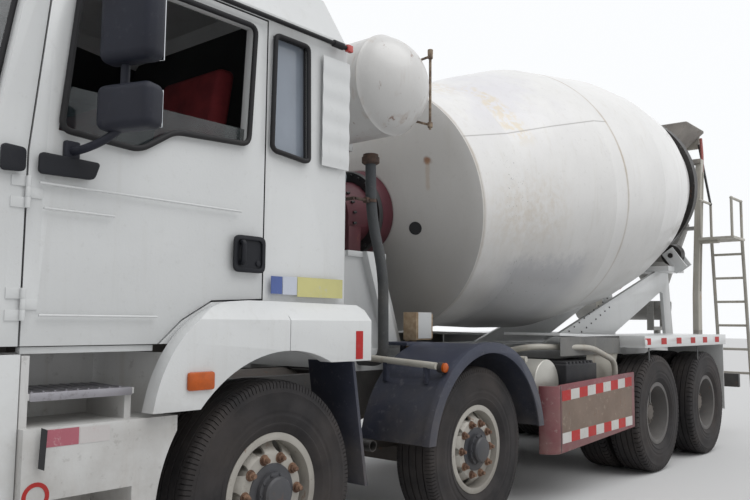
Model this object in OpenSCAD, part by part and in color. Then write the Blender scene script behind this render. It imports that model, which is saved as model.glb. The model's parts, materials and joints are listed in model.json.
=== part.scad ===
// Concrete mixer truck, four axles, millimetres.
// +X is forward, +Y is the left side, +Z is up; the origin is under the middle, on the ground.
// Places along the truck are measured from the first axle, forward positive.

/* [Overall] */
// Distance of the bumper's face ahead of the first axle
front_overhang = 1500; // [1480:10:1560]

/* [Axles] */
// First to second axle
axle_2_gap = 1800; // [1760:10:1900]
// Second to third axle
axle_3_gap = 2975; // [2900:25:3100]
// Third to fourth axle
axle_4_gap = 1400; // [1360:10:1450]
// Distance of the ladder's foot behind the fourth axle
rear_overhang = 2225; // [2200:5:2260]
// Between the middles of the steered tyres
front_track = 2036; // [2010:2:2060]
// Between the middles of the twin tyres' pairs
rear_track = 1860; // [1840:2:1880]
// Between the two tyres of a twin
twin_gap = 340; // [334:2:360]
// Distance of a kingpin inside the steered tyre's middle
kingpin_in = 123; // [118:1:133]
// Diameter of a kingpin
kingpin_d = 48; // [40:1:56]

/* [Wheels] */
// Outer diameter of a tyre
tyre_d = 1080; // [1060:5:1100]
// Width of a tyre
tyre_w = 300; // [280:5:310]
// Outer diameter of a rim's flange
rim_d = 572; // [560:2:590]
// Thickness of a rim's metal
rim_t = 14; // [10:1:20]
// Vent holes in a wheel disc
vent_count = 10; // [8:1:12]

/* [Frame] */
// Width over the two rails
rail_span = 850; // [820:10:870]
// Height of a rail
rail_h = 300; // [280:5:320]
// Top of the rails above the ground
rail_top = 1030; // [1015:5:1040]
// Width of a rail's flange
rail_flange = 80; // [70:5:90]
// Thickness of a rail's steel
rail_t = 12; // [8:1:16]
// Distance of the rails' front ends behind the bumper's face
rail_setback = 320; // [310:5:330]
// Distance of the rails' rear ends ahead of the ladder's foot
rail_end = 925; // [915:5:935]
// Height of the mixer's own frame on the rails
subframe_h = 150; // [130:5:170]

/* [Cab] */
// Width of the cab
cab_w = 2280; // [2260:10:2300]
// Distance of the cab's back wall behind the first axle
cab_back = 490; // [470:10:520]
// Lower edge of the cab's sides
sill_z = 1265; // [1260:1:1275]
// Top of the cab's floor
floor_z = 1450; // [1430:5:1480]
// Gutter line, where the roof starts
eave_z = 2890; // [2860:10:2920]
// Height of the raised roof above the gutter
roof_h = 440; // [400:10:480]
// Thickness of the cab's walls
wall = 45; // [40:1:55]
// Running gap round a door
door_gap = 8; // [6:1:12]
// Hinge line of a door ahead of the first axle
door_front = 1270; // [1250:5:1280]
// Back edge of a door ahead of the first axle
door_rear = 100; // [90:5:120]
// Bottom of the door's window
belt_z = 2080; // [2060:10:2100]
// Top of the windows
window_top = 2800; // [2780:10:2820]
// Upper edge of the driver's pane, wound down
lowered_z = 2290; // [2280:5:2300]
// Height of the tilt pivot
tilt_z = 1120; // [1115:1:1125]
// Distance of the tilt pivot behind the bumper's face
tilt_back = 60; // [56:1:64]
// Width of the cab fenders over both sides
fender_w = 2490; // [2470:10:2500]
// Radius of the front wheel arch
arch_r = 685; // [675:5:690]

/* [Drum] */
// Tilt of the drum's axis
drum_tilt = 9.8; // [9.5:0.1:10]
// Height of the axis where the gearbox starts
drum_z = 2150; // [2140:5:2160]
// Distance of that point behind the first axle
drum_back = 1500; // [1490:5:1520]
// Thickness of the drum's shell
drum_wall = 12; // [8:1:16]
// Largest radius of the drum
drum_r = 1250; // [1230:5:1260]
// Place of the roller ring along the axis
ring_s = 5570; // [5540:10:5600]
// Outer radius of the roller ring
ring_r = 920; // [900:5:940]
// Width of the roller ring
ring_w = 110; // [90:5:130]
// Diameter of a support roller
roller_d = 250; // [230:5:260]
// Angle of the rollers from straight down
roller_angle = 33; // [30:1:35]
// Running gap between the ring and a roller
roller_gap = 0.4; // [0.3:0.1:1]

/* [Water tank] */
// Diameter of the water tank
water_d = 640; // [600:10:660]
// Length of the tank without its domed ends
water_l = 1800; // [1700:20:1900]
// Height of its axis
water_z = 2880; // [2870:5:2900]
// Distance of its axis behind the first axle
water_back = 1150; // [1130:5:1170]

/* [Chute] */
// Length of the swinging chute
chute_l = 1250; // [1150:25:1300]
// Width of the chute
chute_w = 420; // [380:10:440]
// Height of the chute's tilt pin
chute_pin_z = 1640; // [1600:10:1660]

/* [Hidden] */

$fn = 64;
eps = 0.5;
pin_gap = 0.3;

white = "whitesmoke";
dark_blue = "#2a3346";
steel = "#8f9190";
maroon = "#6b1f22";

tyre_r = tyre_d / 2;
kingpin_y = front_track / 2 - kingpin_in;
rim_r = rim_d / 2;
overall_l = front_overhang + axle_2_gap + axle_3_gap + axle_4_gap + rear_overhang;
front_x = overall_l / 2;
rear_x = -overall_l / 2;
axle_1 = front_x - front_overhang;
axle_2 = axle_1 - axle_2_gap;
axle_3 = axle_2 - axle_3_gap;
axle_4 = axle_3 - axle_4_gap;
bogie_x = (axle_3 + axle_4) / 2;
rail_bottom = rail_top - rail_h;
rail_y = rail_span / 2;
sub_top = rail_top + subframe_h;
frame_front = front_x - rail_setback;
frame_rear = rear_x + rail_end;
half_cab = cab_w / 2;
half_fender = fender_w / 2;
tilt_x = front_x - tilt_back;
cab_face = front_x - 4;

// Cab outlines, seen from the side: x from the first axle, z above the ground
screen_foot = [1420, 1950];
screen_head = [1265, eave_z];
cab_outline = [[-cab_back, sill_z], [cab_face - axle_1, sill_z], [cab_face - axle_1 - 6, 1780], screen_foot,
    screen_head, [-cab_back, eave_z]];
fender_top_z = 1465;
door_outline = [[door_front, sill_z], [door_front, 2000], [door_front - 85, eave_z - 30], [door_rear, eave_z - 30],
    [door_rear, fender_top_z + door_gap], [400, fender_top_z - 15 + door_gap], [560, 1370],
    [680, sill_z]];
window_outline = [[1160, belt_z + 20], [1095, window_top - 40], [1060, window_top], [190, window_top],
    [220, belt_z + 130], [640, belt_z + 110], [810, belt_z]];
lowered_outline = [[1158, belt_z + 20], [1139, lowered_z], [218, lowered_z], [222, belt_z + 130], [640, belt_z + 110],
    [810, belt_z]];
quarter_outline = [[70, belt_z + 150], [60, window_top], [-170, window_top], [-185, belt_z + 120],
    [-160, belt_z + 110], [50, belt_z + 130]];
fender_outline = [[-600, 1160], [-600, 1430], [-560, fender_top_z - 8], [180, fender_top_z], [400, fender_top_z - 15],
    [560, 1360], [670, 1240], [735, 1100], [760, 985], [500, 985], [200, 1160]];

// Frame of the drum's axis: the part's own +Z runs along the axis, backward and up
module along_drum() {
    translate([axle_1 - drum_back, 0, drum_z]) rotate([0, drum_tilt - 90, 0]) children();
}

// Rod between two points
module rod(a, b, d) {
    v = b - a;
    l = norm(v);
    translate(a) rotate([0, acos(v[2] / l), atan2(v[1], v[0])]) cylinder(h = l, d = d, $fn = 24);
}

// Rods through a row of points, with balls at the bends; the balls are turned to keep their poles off the rods
module bent_rod(points, d) {
    for (i = [0 : len(points) - 2]) rod(points[i], points[i + 1], d);
    for (i = [1 : 1 : len(points) - 2]) translate(points[i]) rotate([20, 35, 0]) sphere(d = d + 8, $fn = 24);
}

// Box between two corners
module block(a, b) {
    translate(a) cube(b - a);
}

// Side outline given from the first axle, standing between two widths
module side_plate(points, y0, y1, x = axle_1) {
    translate([x, y1, 0]) rotate([90, 0, 0]) linear_extrude(y1 - y0) polygon(points);
}

// Rectangle with true round corners, from the corner at zero
module round_rect(w, h, r) {
    translate([r, 0]) square([w - 2 * r, h]);
    translate([0, r]) square([w, h - 2 * r]);
    for (x = [r, w - r], y = [r, h - r]) translate([x, y]) circle(r, $fn = 32);
}

module both_sides() {
    children();
    mirror([0, 1, 0]) children();
}

module on_side(side) {
    if (side > 0) children();
    else mirror([0, 1, 0]) children();
}

// Chassis

module rail() {
    translate([frame_rear, rail_y - rail_flange, rail_bottom]) difference() {
        cube([frame_front - frame_rear, rail_flange, rail_h]);
        translate([-1, -1, rail_t]) cube([frame_front - frame_rear + 2, rail_flange - rail_t + 1, rail_h - 2 * rail_t]);
    }
}

tube_d = 90;

module frame() {
    color("#4a4744") {
        both_sides() rail();
        for (x = [frame_front - 90, axle_1 - 1500, axle_2 - 900, axle_3 + 900, bogie_x, frame_rear + 120])
            translate([x, -rail_y + rail_t - 1, rail_top - rail_t - tube_d])
                cube([120, rail_span - 2 * rail_t + 2, tube_d]);
        both_sides() tilt_bracket();
    }
}

tilt_pin_d = 30;
tilt_bracket_y = rail_y - rail_flange;

// Bracket from the end of a rail up to the cab's pivot, with the pin through it
module tilt_bracket() {
    translate([0, tilt_bracket_y + 20, 0]) rotate([90, 0, 0]) linear_extrude(20) difference() {
        polygon([[frame_front - 200, rail_bottom + 40], [frame_front - 200, rail_top - 20],
            [tilt_x - 25, tilt_z + 18], [tilt_x + 16, tilt_z + 18], [tilt_x + 16, tilt_z - 60], [tilt_x - 60, rail_bottom + 60]]);
        translate([tilt_x, tilt_z]) circle(d = tilt_pin_d - 1, $fn = 32);
    }
    translate([tilt_x, tilt_bracket_y + 60, tilt_z]) rotate([90, 0, 0]) cylinder(h = 80, d = tilt_pin_d, $fn = 32);
}

module subframe() {
    sub_w = 100;
    sub_front = axle_1 - 1100;
    color("#d8d6cf") {
        both_sides() translate([frame_rear, rail_y - sub_w, rail_top]) cube([sub_front - frame_rear, sub_w, subframe_h]);
        for (x = [sub_front - 120, axle_2 - 500, axle_3 + 1500, axle_3 + 400, axle_4 - 300, frame_rear])
            translate([x, -rail_y + sub_w - 1, rail_top + 30]) cube([120, rail_span - 2 * sub_w + 2, subframe_h - 30]);
        difference() {
            union() {
                translate([swing_x, 0, rail_top]) cylinder(h = subframe_h, d = swing_d + 80, $fn = 48);
                block([swing_x + 45, -60, rail_top + 31], [frame_rear + 1, 60, sub_top - 1]);
            }
            translate([swing_x, 0, rail_top - 1]) cylinder(h = subframe_h + 2, d = swing_d + 2 * pin_gap, $fn = 48);
        }
    }
}

beam_drop = 90;
eye_h = 110;
eye_d = 110;

// Forged beam with an eye for the kingpin at each end
module steer_axle(x) {
    translate([x, 0, tyre_r]) {
        translate([-50, -620, -beam_drop - 60]) cube([100, 1240, 100]);
        both_sides() {
            translate([-50, 560, 0]) rotate([90, 0, 90]) linear_extrude(100)
                polygon([[0, -beam_drop - 60], [0, -beam_drop + 40], [kingpin_y - 600, 40], [kingpin_y - 600, -45]]);
            translate([0, kingpin_y, -eye_h / 2]) difference() {
                cylinder(h = eye_h, d = eye_d, $fn = 48);
                translate([0, 0, -1]) cylinder(h = eye_h + 2, d = kingpin_d + eps, $fn = 48);
            }
        }
    }
}

module steer_axles() {
    color("#33302d") {
        steer_axle(axle_1);
        steer_axle(axle_2);
    }
}

hub_face = rear_track / 2;
spindle_d = 110;
head_d = 460;

// Driven axle: a tube with a gear head and a stub at each end for the hub
module drive_axle(x) {
    translate([x, 0, tyre_r]) {
        rotate([90, 0, 0]) cylinder(h = 2 * (hub_face - 310), d = 190, center = true, $fn = 48);
        rotate([90, 0, 0]) cylinder(h = 2 * (hub_face + 90), d = spindle_d, center = true, $fn = 48);
        sphere(d = head_d, $fn = 48);
        rotate([0, 90, 0]) cylinder(h = 520, d = 240, center = true, $fn = 48);
        rotate([0, 90, 0]) cylinder(h = 700, d = 130, center = true, $fn = 48);
    }
}

module drive_axles() {
    color("#33302d") {
        drive_axle(axle_3);
        drive_axle(axle_4);
    }
}

leaf_w = 90;
spring_y = rail_y - 10;

// Pack of leaves: an arc of constant thickness, sagging below its ends
module leaf_pack(length, thick, sag) {
    r = (length * length / 4 + sag * sag) / (2 * sag);
    translate([0, leaf_w / 2, 0]) rotate([90, 0, 0]) linear_extrude(leaf_w) intersection() {
        translate([0, r]) difference() {
            circle(r, $fn = 360);
            circle(r - thick, $fn = 360);
        }
        translate([-length / 2, -1]) square([length, sag + thick]);
    }
}

bogie_spring_thick = 150;

module springs() {
    color("#3b342f") both_sides() {
        for (x = [axle_1, axle_2]) {
            translate([x, spring_y, tyre_r - beam_drop + 40]) leaf_pack(1500, 60, 110);
            for (d = [-1, 1]) translate([x + d * 720 - 35, spring_y - 45, tyre_r - beam_drop + 130])
                cube([70, 90, rail_bottom - tyre_r + beam_drop - 130]);
        }
        translate([bogie_x, rail_y + 60, tyre_r + 95 + 140]) mirror([0, 0, 1])
            translate([0, 0, -bogie_spring_thick / 2]) leaf_pack(axle_4_gap + 160, bogie_spring_thick, 60);
        translate([bogie_x, rail_y, 0]) {
            translate([0, 0, rail_bottom - 60]) rotate([-90, 0, 0]) cylinder(h = 130, d = 130, $fn = 48);
            block([-150, 0, rail_bottom - 120], [150, 14, rail_top - 90]);
        }
    }
}

module engine() {
    union() {
        block([axle_1 - 350, -330, rail_bottom - 110], [axle_1 + 950, 330, 1380]);
        translate([axle_1 - 1150, 0, rail_bottom + 130]) rotate([0, 90, 0]) cylinder(h = 801, d = 380, $fn = 48);
    }
}

shaft_d = 110;

module prop_shafts() {
    z_box = rail_bottom + 130;
    z_head = tyre_r;
    a = [axle_1 - 1150, 0, z_box];
    b = [axle_2 - 1000, 0, z_box - 20];
    c = [axle_3 + 400, 0, z_head];
    union() {
        rod(a, b, shaft_d);
        translate(b - [60, 0, 0]) rotate([0, 90, 0]) cylinder(h = 120, d = 170, $fn = 48);
        translate([b[0] - 40, -rail_y + rail_t, z_box - 60]) cube([80, rail_span - 2 * rail_t, 70]);
        rod(b, c, shaft_d);
        translate([axle_3 + 350, 0, z_head]) rotate([0, 90, 0]) cylinder(h = 90, d = 150, $fn = 48);
        rod([axle_3 - 350, 0, z_head], [axle_4 + 350, 0, z_head], shaft_d);
    }
}

module drive_line() {
    color("#4b4f4d") {
        engine();
        prop_shafts();
    }
}

bumper_t = 40;
bumper_r = 150;
bumper_bottom = 330;
bumper_top = sill_z - 30;
bumper_w = cab_w + 20;
lamp_y = 880;
lamp_w = 330;
lamp_z = 640;
lamp_h = 210;

// Plan outline of the bumper, open to the back
module bumper_plan() {
    d = 230;
    difference() {
        translate([front_x - d - bumper_r, -bumper_w / 2]) round_rect(d + bumper_r, bumper_w, bumper_r);
        translate([front_x - d - bumper_r - bumper_t, -bumper_w / 2 + bumper_t])
            round_rect(d + bumper_r, bumper_w - 2 * bumper_t, bumper_r - bumper_t);
        translate([front_x - d - bumper_r - 1, -bumper_w]) square([bumper_r + 1, 2 * bumper_w]);
    }
}

tow_y = rail_y - 30;
tow_z = rail_bottom + 120;
tow_bore_d = 32;
tow_bore_l = 130;

// Bumper on two arms from the rails' ends, each with a socket for a tow eye
module bumper() {
    color(white) difference() {
        translate([0, 0, bumper_bottom]) linear_extrude(bumper_top - bumper_bottom) bumper_plan();
        both_sides() tow_bore();
        both_sides() block([front_x - 60, lamp_y - lamp_w / 2, lamp_z], [front_x + 10, lamp_y + lamp_w / 2, lamp_z + lamp_h]);
        for (z = [960, 1040, 1120]) block([front_x - 60, -620, z], [front_x + 10, 620, z + 45]);
        block([front_x - 60, -560, 440], [front_x + 10, 560, 560]);
    }
    color("#4a4744") both_sides() difference() {
        union() {
            block([frame_front, rail_y - 50, rail_bottom + 70], [front_x - bumper_t + 1, rail_y - 10, rail_bottom + 170]);
            translate([front_x - tow_bore_l - 20, tow_y, tow_z]) rotate([0, 90, 0])
                cylinder(h = tow_bore_l + 21 - bumper_t, d = 56, $fn = 48);
        }
        tow_bore();
    }
}

module tow_bore() {
    translate([front_x - tow_bore_l, tow_y, tow_z]) rotate([0, 90, 0]) cylinder(h = tow_bore_l + 1, d = tow_bore_d, $fn = 48);
}

module headlamps() {
    both_sides()
        block([front_x - bumper_t, lamp_y - lamp_w / 2, lamp_z], [front_x - 6, lamp_y + lamp_w / 2, lamp_z + lamp_h]);
}

well_front = front_overhang - 235;
well_y = half_cab + 50;
well_back = 770;
tread_z = 1065;
ledge_z = 965;

// Stepped housing under a door: the lower box follows the wheel arch
module step_well() {
    translate([axle_1, 0, 0]) {
        difference() {
            translate([0, well_y, 0]) rotate([90, 0, 0]) linear_extrude(well_y - 800) difference() {
                polygon([[600, 380], [600, ledge_z], [well_front, ledge_z], [well_front, 380]]);
                translate([0, tyre_r]) circle(arch_r + 15, $fn = 128);
            }
            block([well_back + 40, 880, 450], [well_front - 40, well_y + 10, 700]);
            block([560, 700, 340], [well_back - 20, well_y - 25, ledge_z - 25]);
        }
        block([well_back + 20, 800, ledge_z - 1], [well_front, 830, sill_z - 35]);
        block([well_front - 30, 800, ledge_z - 1], [well_front, well_y - 40, sill_z - 35]);
        block([well_back + 20, 800, ledge_z - 1], [well_back + 50, well_y - 60, tread_z]);
        block([900, rail_y, rail_bottom + 60], [960, 801, rail_bottom + 120]);
    }
}

module treads() {
    translate([axle_1, 0, 0]) {
        block([well_back + 20, 829, tread_z], [well_front - 29, half_cab + 10, tread_z + 25]);
        block([well_back + 39, 879, 430], [well_front - 39, well_y - 5, 451]);
    }
}

module step_wells() {
    color(white) both_sides() {
        step_well();
        treads();
    }
}

guard_in = 690;
guard_out = 1225;
guard_r = 694;
guard_t = 22;
guard_ahead = -36;
guard_up = -6;

// Half ring round the second wheel, seen from its side, between two radii and above a height
module half_ring(outer, inner, low) {
    intersection() {
        difference() {
            circle(outer, $fn = 128);
            circle(inner, $fn = 128);
        }
        translate([-outer - 1, low]) square([outer * 2 + 2, outer]);
    }
}

module guard_place(y0, y1) {
    translate([axle_2 + guard_ahead, y1, tyre_r + guard_up]) rotate([90, 0, 0]) linear_extrude(y1 - y0) children();
}

stay_x = axle_1 - 1310;
stay_z = 1100;
stay_back = axle_2 - 580;
stay_back_z = 1110;
stay_d = 44;

// The two tubes that hold the arch over the second wheel
module stays(grow = 0) {
    rod([stay_x, rail_y + 4, stay_z + 40], [stay_x, guard_out - 60, stay_z], stay_d + grow);
    rod([stay_back, rail_y, stay_back_z], [stay_back, guard_out - 40, stay_back_z], stay_d + grow);
}

// Arch over the second wheel with a rim at its outer edge, and the flap behind the first wheel
module mudguards() {
    top = tyre_r + guard_up + guard_r;
    color(dark_blue) both_sides() {
        guard_place(guard_in, guard_out) half_ring(guard_r, guard_r - guard_t, 101);
        guard_place(guard_out - 40, guard_out + 15) half_ring(guard_r + 12, guard_r, 101);
        guard_place(guard_out, guard_out + 15) half_ring(guard_r + 1, guard_r - 58, 101);
        block([axle_2 - 130, rail_y + 20, top - guard_t], [axle_2 + 180, guard_in + 1, top]);
        for (x = [-120, 105]) block([axle_2 + x, rail_y, sub_top - 70], [axle_2 + x + 40, rail_y + 21, top]);
        for (y = [guard_in + 60, guard_out - 150]) difference() {
            union() {
                block([stay_x - 16, y, stay_z - 112], [stay_x + 16, y + 30, stay_z + 12]);
                block([stay_back - 14, y, 950], [stay_back + 14, y + 30, stay_back_z + 4]);
            }
            stays(eps);
        }
        side_plate([[-702, 470], [-680, 470], [-562, 1150], [-584, 1150]], 800, half_cab);
    }
}

fender_top = 1262;
fender_skirt = 110;
rear_fender_front = axle_3 + 335;
rear_fender_rear = axle_4 - 675;

module rear_fenders() {
    color(white) both_sides() {
        difference() {
            block([rear_fender_rear, rail_y + 60, fender_top - fender_skirt], [rear_fender_front, half_fender, fender_top]);
            block([rear_fender_rear + 30, rail_y + 40, fender_top - fender_skirt - 1], [rear_fender_front - 30, half_fender - 25, fender_top - 25]);
        }
        side_plate([[0, fender_top - 25], [0, fender_top], [1200, fender_top + 28], [1200, fender_top + 6]],
            rail_y + 60, 1010, rear_fender_front);
        for (x = [rear_fender_front - 60, bogie_x, rear_fender_rear + 60])
            block([x - 25, rail_y, fender_top - 90], [x + 25, rail_y + 70, fender_top - 25]);
        block([rear_fender_rear, rail_y + 160, 420], [rear_fender_rear + 14, half_fender - 30, fender_top - fender_skirt + 1]);
    }
    color("orange") both_sides() translate([rear_fender_front - 20, half_fender - 1, fender_top - 62])
        rotate([-90, 0, 0]) cylinder(h = 8, d = 60, $fn = 32);
}

guard_front = -2674;
guard_rear = -4190;
guard_y = 1240;
guard_plate_t = 25;
return_r = 120;

// Maroon side guard: a long board with a rounded return at its front end
module side_guards() {
    color(maroon) both_sides() {
        side_plate([[guard_front - return_r, 400], [guard_front - return_r, 905], [guard_rear, 945], [guard_rear, 470]],
            guard_y - guard_plate_t, guard_y);
        translate([axle_1 + guard_front - return_r, guard_y - return_r, 400]) difference() {
            cylinder(h = 500, r = return_r, $fn = 64);
            translate([0, 0, -1]) cylinder(h = 502, r = return_r - guard_plate_t, $fn = 64);
            translate([-return_r * 2, -return_r, -1]) cube([return_r * 2, return_r * 2, 502]);
            translate([-return_r, -return_r * 2, -1]) cube([return_r * 2, return_r * 2, 502]);
        }
        for (p = [[guard_front - return_r - 60, 630], [guard_rear + 250, 760]]) translate([axle_1 + p[0], rail_y, p[1]]) {
            cube([60, guard_y - guard_plate_t - rail_y + 1, 50]);
        }
    }
}

tank_d = 390;
tank_dome = 330;

module fuel_tank() {
    translate([axle_2 - 1500, -rail_y - 330, 800]) rotate([0, 90, 0])
        linear_extrude(850, center = true) translate([-270, -290]) round_rect(500, 580, 90);
    for (x = [-300, 300]) block([axle_2 - 1500 + x, -rail_y - 60, 740], [axle_2 - 1450 + x, -rail_y, 900]);
}

module air_tank() {
    translate([axle_2 - 1085, 1080, 895]) rotate([90, 0, 0]) {
        cylinder(h = 540, d = tank_d, $fn = 64);
        intersection() {
            translate([0, 0, tank_dome]) sphere(tank_dome, $fn = 64);
            translate([0, 0, -60]) cylinder(h = 61, d = tank_d - 16, $fn = 64);
        }
    }
    block([axle_2 - 1180, rail_y, 860], [axle_2 - 990, 541, 930]);
}

module tanks() {
    color("#b9bab6") {
        fuel_tank();
        air_tank();
    }
}

module battery_box() {
    color("#2c2c2d") translate([axle_2 - 1880, rail_y + 40, 640]) {
        cube([560, 660, 400]);
        for (i = [0 : 7]) translate([30 + i * 65, 20, 400]) cube([35, 620, 22]);
    }
    color("#3b342f") block([axle_2 - 1800, rail_y, 740], [axle_2 - 1400, rail_y + 41, 900]);
}

dome_h = 240;
water_x = axle_1 - water_back;

module water_tank() {
    r = water_d / 2;
    sight_y = water_l / 2 + 145;
    dome_r = (r * r + dome_h * dome_h) / (2 * dome_h);
    color(white) translate([water_x, 0, water_z]) {
        rotate([90, 0, 0]) cylinder(h = water_l, r = r, center = true, $fn = 96);
        both_sides() intersection() {
            translate([0, water_l / 2 + dome_h - dome_r, 0]) rotate([90, 0, 0]) sphere(dome_r, $fn = 96);
            translate([0, water_l / 2 - 1, 0]) rotate([-90, 0, 0]) cylinder(h = dome_h + 5, r = r, $fn = 96);
        }
        translate([0, 300, r - 12]) cylinder(h = 50, d = 160, $fn = 48);
    }
    color("#7a4a2c") {
        rod([water_x - 250, sight_y, water_z - 230], [water_x - 250, sight_y, water_z + 230], 26);
        for (z = [-230, 230]) rod([water_x - 250, sight_y, water_z + z], [water_x - 205, sight_y - 85, water_z + z * 0.85], 22);
    }
}

post_w = 130;
post_y = 400;
saddle_z = water_z - water_d / 2 + 40;
bed_z = drum_z - 290;

// Front pedestal: posts to the water tank and a braced bed for the drum's gearbox
module front_pedestal() {
    color("#e4e2db") {
        both_sides() {
            block([water_x - post_w / 2, post_y - 60, sub_top], [water_x + post_w / 2, post_y + 60, saddle_z - 60]);
            difference() {
                block([water_x - 160, post_y - 50, saddle_z - 61], [water_x + 160, post_y + 50, saddle_z + 60]);
                translate([water_x, 0, water_z]) rotate([90, 0, 0]) cylinder(h = 2 * water_l, d = water_d + eps, center = true, $fn = 96);
            }
            side_plate([[-1210, sub_top], [-1210, bed_z - 155], [-1330, bed_z], [-1700, bed_z], [-1960, sub_top]],
                post_y - 55, post_y - 20);
            side_plate([[-1730, sub_top], [-1850, sub_top], [-1600, bed_z], [-1480, bed_z]], post_y - 20, post_y + 40);
        }
        block([axle_1 - 1740, -post_y, bed_z - 40], [axle_1 - 1330, post_y, bed_z]);
        block([water_x - 50, -post_y, drum_z + 150], [water_x + 50, post_y, drum_z + 250]);
    }
}

// Gearbox that turns the drum, with its motor, on the pedestal's bed
module drum_gearbox() {
    color(maroon) {
        along_drum() {
            cylinder(h = 330, d = 480, $fn = 64);
            translate([0, 0, 300]) cylinder(h = drum_profile[0][0] - 300 - roller_gap, d = 640, $fn = 64);
            for (a = [0 : 20 : 340]) rotate([0, 0, a]) translate([290, 0, 280]) cylinder(h = 21, d = 34, $fn = 24);
            translate([0, 0, -260]) cylinder(h = 261, d = 250, $fn = 48);
        }
        block([axle_1 - drum_back - 150, -230, bed_z], [axle_1 - drum_back - 20, 230, drum_z - 90]);
    }
}

module side_pipes() {
    x = axle_2 - 1220;
    bent_rod([[x, rail_y, 1110], [x, rail_y + 90, 1110], [x, 860, 1180], [x - 700, 1060, 1165], [x - 1110, 1090, 1040],
        [x - 1110, 1090, 850], [x - 1110, rail_y, 850]], 50);
}

intake_x = axle_1 - 1330;
intake_y = 640;

module intake_hose() {
    x = intake_x;
    bent_rod([[x - 100, rail_y, sub_top - 75], [x - 100, intake_y, sub_top - 75], [x - 80, intake_y + 10, 1700],
        [x + 40, intake_y, 2080], [x + 50, intake_y, 2440]], 70);
    translate([x + 50, intake_y, 2430]) cylinder(h = 60, d = 120, $fn = 32);
    translate([x + 48, intake_y, 2160]) cylinder(h = 24, d = 100, $fn = 32);
    rod([water_x + 30, intake_y, 2172], [water_x + 30, post_y + 60, 2172], 24);
}

// Tubes under and behind the cab: the front one carries a lamp, the lowest is the exhaust
module stay_tubes() {
    both_sides() {
        stays();
        block([stay_x - 35, rail_y, stay_z + 5], [stay_x + 35, rail_y + 8, stay_z + 75]);
        translate([stay_x - 35, guard_out - 75, stay_z - 10]) rotate([-90, 0, 0]) cylinder(h = 70, d = 66, $fn = 32);
        rod([axle_1 - 649, rail_y, 900], [axle_1 - 649, 1100, 900], 42);
        rod([axle_1 - 910, rail_y, 644], [axle_1 - 910, 1000, 644], 66);
        block([axle_1 - 930, rail_y, 640], [axle_1 - 890, rail_y + 12, 880]);
    }
}

module pipes() {
    color(steel) {
        stay_tubes();
        side_pipes();
        intake_hose();
    }
}

module sign_box() {
    x = axle_1 - 2060;
    color("tan") {
        block([x, rail_y + 30, sub_top + 60], [x + 180, rail_y + 150, sub_top + 260]);
        block([x - 10, rail_y + 149, sub_top + 70], [x + 170, rail_y + 156, sub_top + 250]);
        block([x + 60, rail_y, sub_top - 120], [x + 120, rail_y + 60, sub_top + 61]);
    }
}

// Drum: distance along the axis, outer radius
drum_profile = [[420, 330], [450, 430], [640, 980], [1200, 1030], [1800, 1150], [2400, drum_r], [3600, drum_r],
    [4200, 1185], [4800, 1070], [ring_s - ring_w / 2 - 10, ring_r - 60], [ring_s + ring_w / 2 + 10, ring_r - 60],
    [6150, 610], [6270, 600]];
drum_front = drum_profile[0][0];

ring_x = axle_1 - drum_back - ring_s * cos(drum_tilt);
ring_z = drum_z + ring_s * sin(drum_tilt);
roller_reach = ring_r + roller_d / 2 + roller_gap;

// Place of a roller, in the drum's frame: its axle runs along the drum
module at_roller(side) {
    along_drum() translate([0, 0, ring_s]) rotate([0, 0, side * roller_angle]) translate([-roller_reach, 0, 0]) children();
}

roller_w = ring_w + 20;
cheek_t = 25;

// Rear pedestal: two braced plates, a beam across and a fork for each roller
module rear_pedestal() {
    top_z = ring_z - roller_reach * cos(roller_angle) * cos(drum_tilt) - 215;
    color("#e4e2db") {
        both_sides() {
            side_plate([[2880, sub_top], [0, top_z], [-420, top_z], [-560, sub_top], [-300, sub_top],
                [-220, top_z - 260], [-140, top_z - 244], [1510, sub_top]], rail_y - 60, rail_y - 20, ring_x);
            for (s = [-1, 1]) at_roller(-1) translate([-220, -80, s * (roller_w / 2 + 4 + cheek_t / 2) - cheek_t / 2])
                difference() {
                    cube([290, 160, cheek_t]);
                    translate([220, 80, -1]) cylinder(h = cheek_t + 2, d = roller_pin_d + 2 * pin_gap, $fn = 32);
                }
        }
        block([ring_x - 420, -rail_y - 180, top_z], [ring_x + 120, rail_y + 180, top_z + 60]);
    }
}

roller_pin_d = 60;

module roller() {
    cylinder(h = roller_w, d = roller_d, center = true, $fn = 64);
    cylinder(h = roller_w + 8 + 2 * cheek_t + 20, d = roller_pin_d, center = true, $fn = 32);
}

module roller_left() {
    color("#3f4347") at_roller(-1) roller();
}

module roller_right() {
    color("#3f4347") at_roller(1) roller();
}

mouth_s = drum_profile[len(drum_profile) - 1][0];
mouth_r = drum_profile[len(drum_profile) - 1][1];
mouth_x = axle_1 - drum_back - mouth_s * cos(drum_tilt);
mouth_z = drum_z + mouth_s * sin(drum_tilt);
lip_front = mouth_x + mouth_r * sin(drum_tilt);
lip_back = mouth_x - mouth_r * sin(drum_tilt);
post_x = mouth_x - 100;
post_y_in = mouth_r + 22;
post_y_out = post_y_in + 70;
hopper_top = 4010;
hopper_half = 620;
hopper_l = 680;
post_top = 3560;
post_lean = [-15, 1750];

// Funnel form above the mouth and its spout that leans into the drum
module hopper_form(inset) {
    hull() {
        translate([lip_front - 40 - hopper_l + inset, -hopper_half + inset, hopper_top - 20])
            cube([hopper_l - 2 * inset, 2 * (hopper_half - inset), 20 + inset]);
        translate([mouth_x - 190 + inset, -180 + inset, mouth_z + 230]) cube([240 - 2 * inset, 360 - 2 * inset, 5]);
    }
    hull() {
        translate([mouth_x - 190 + inset, -180 + inset, mouth_z + 230]) cube([240 - 2 * inset, 360 - 2 * inset, 5]);
        translate([mouth_x - 60 + inset, -160 + inset, mouth_z + 40 - inset]) cube([220 - 2 * inset, 320 - 2 * inset, 5]);
    }
}

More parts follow.
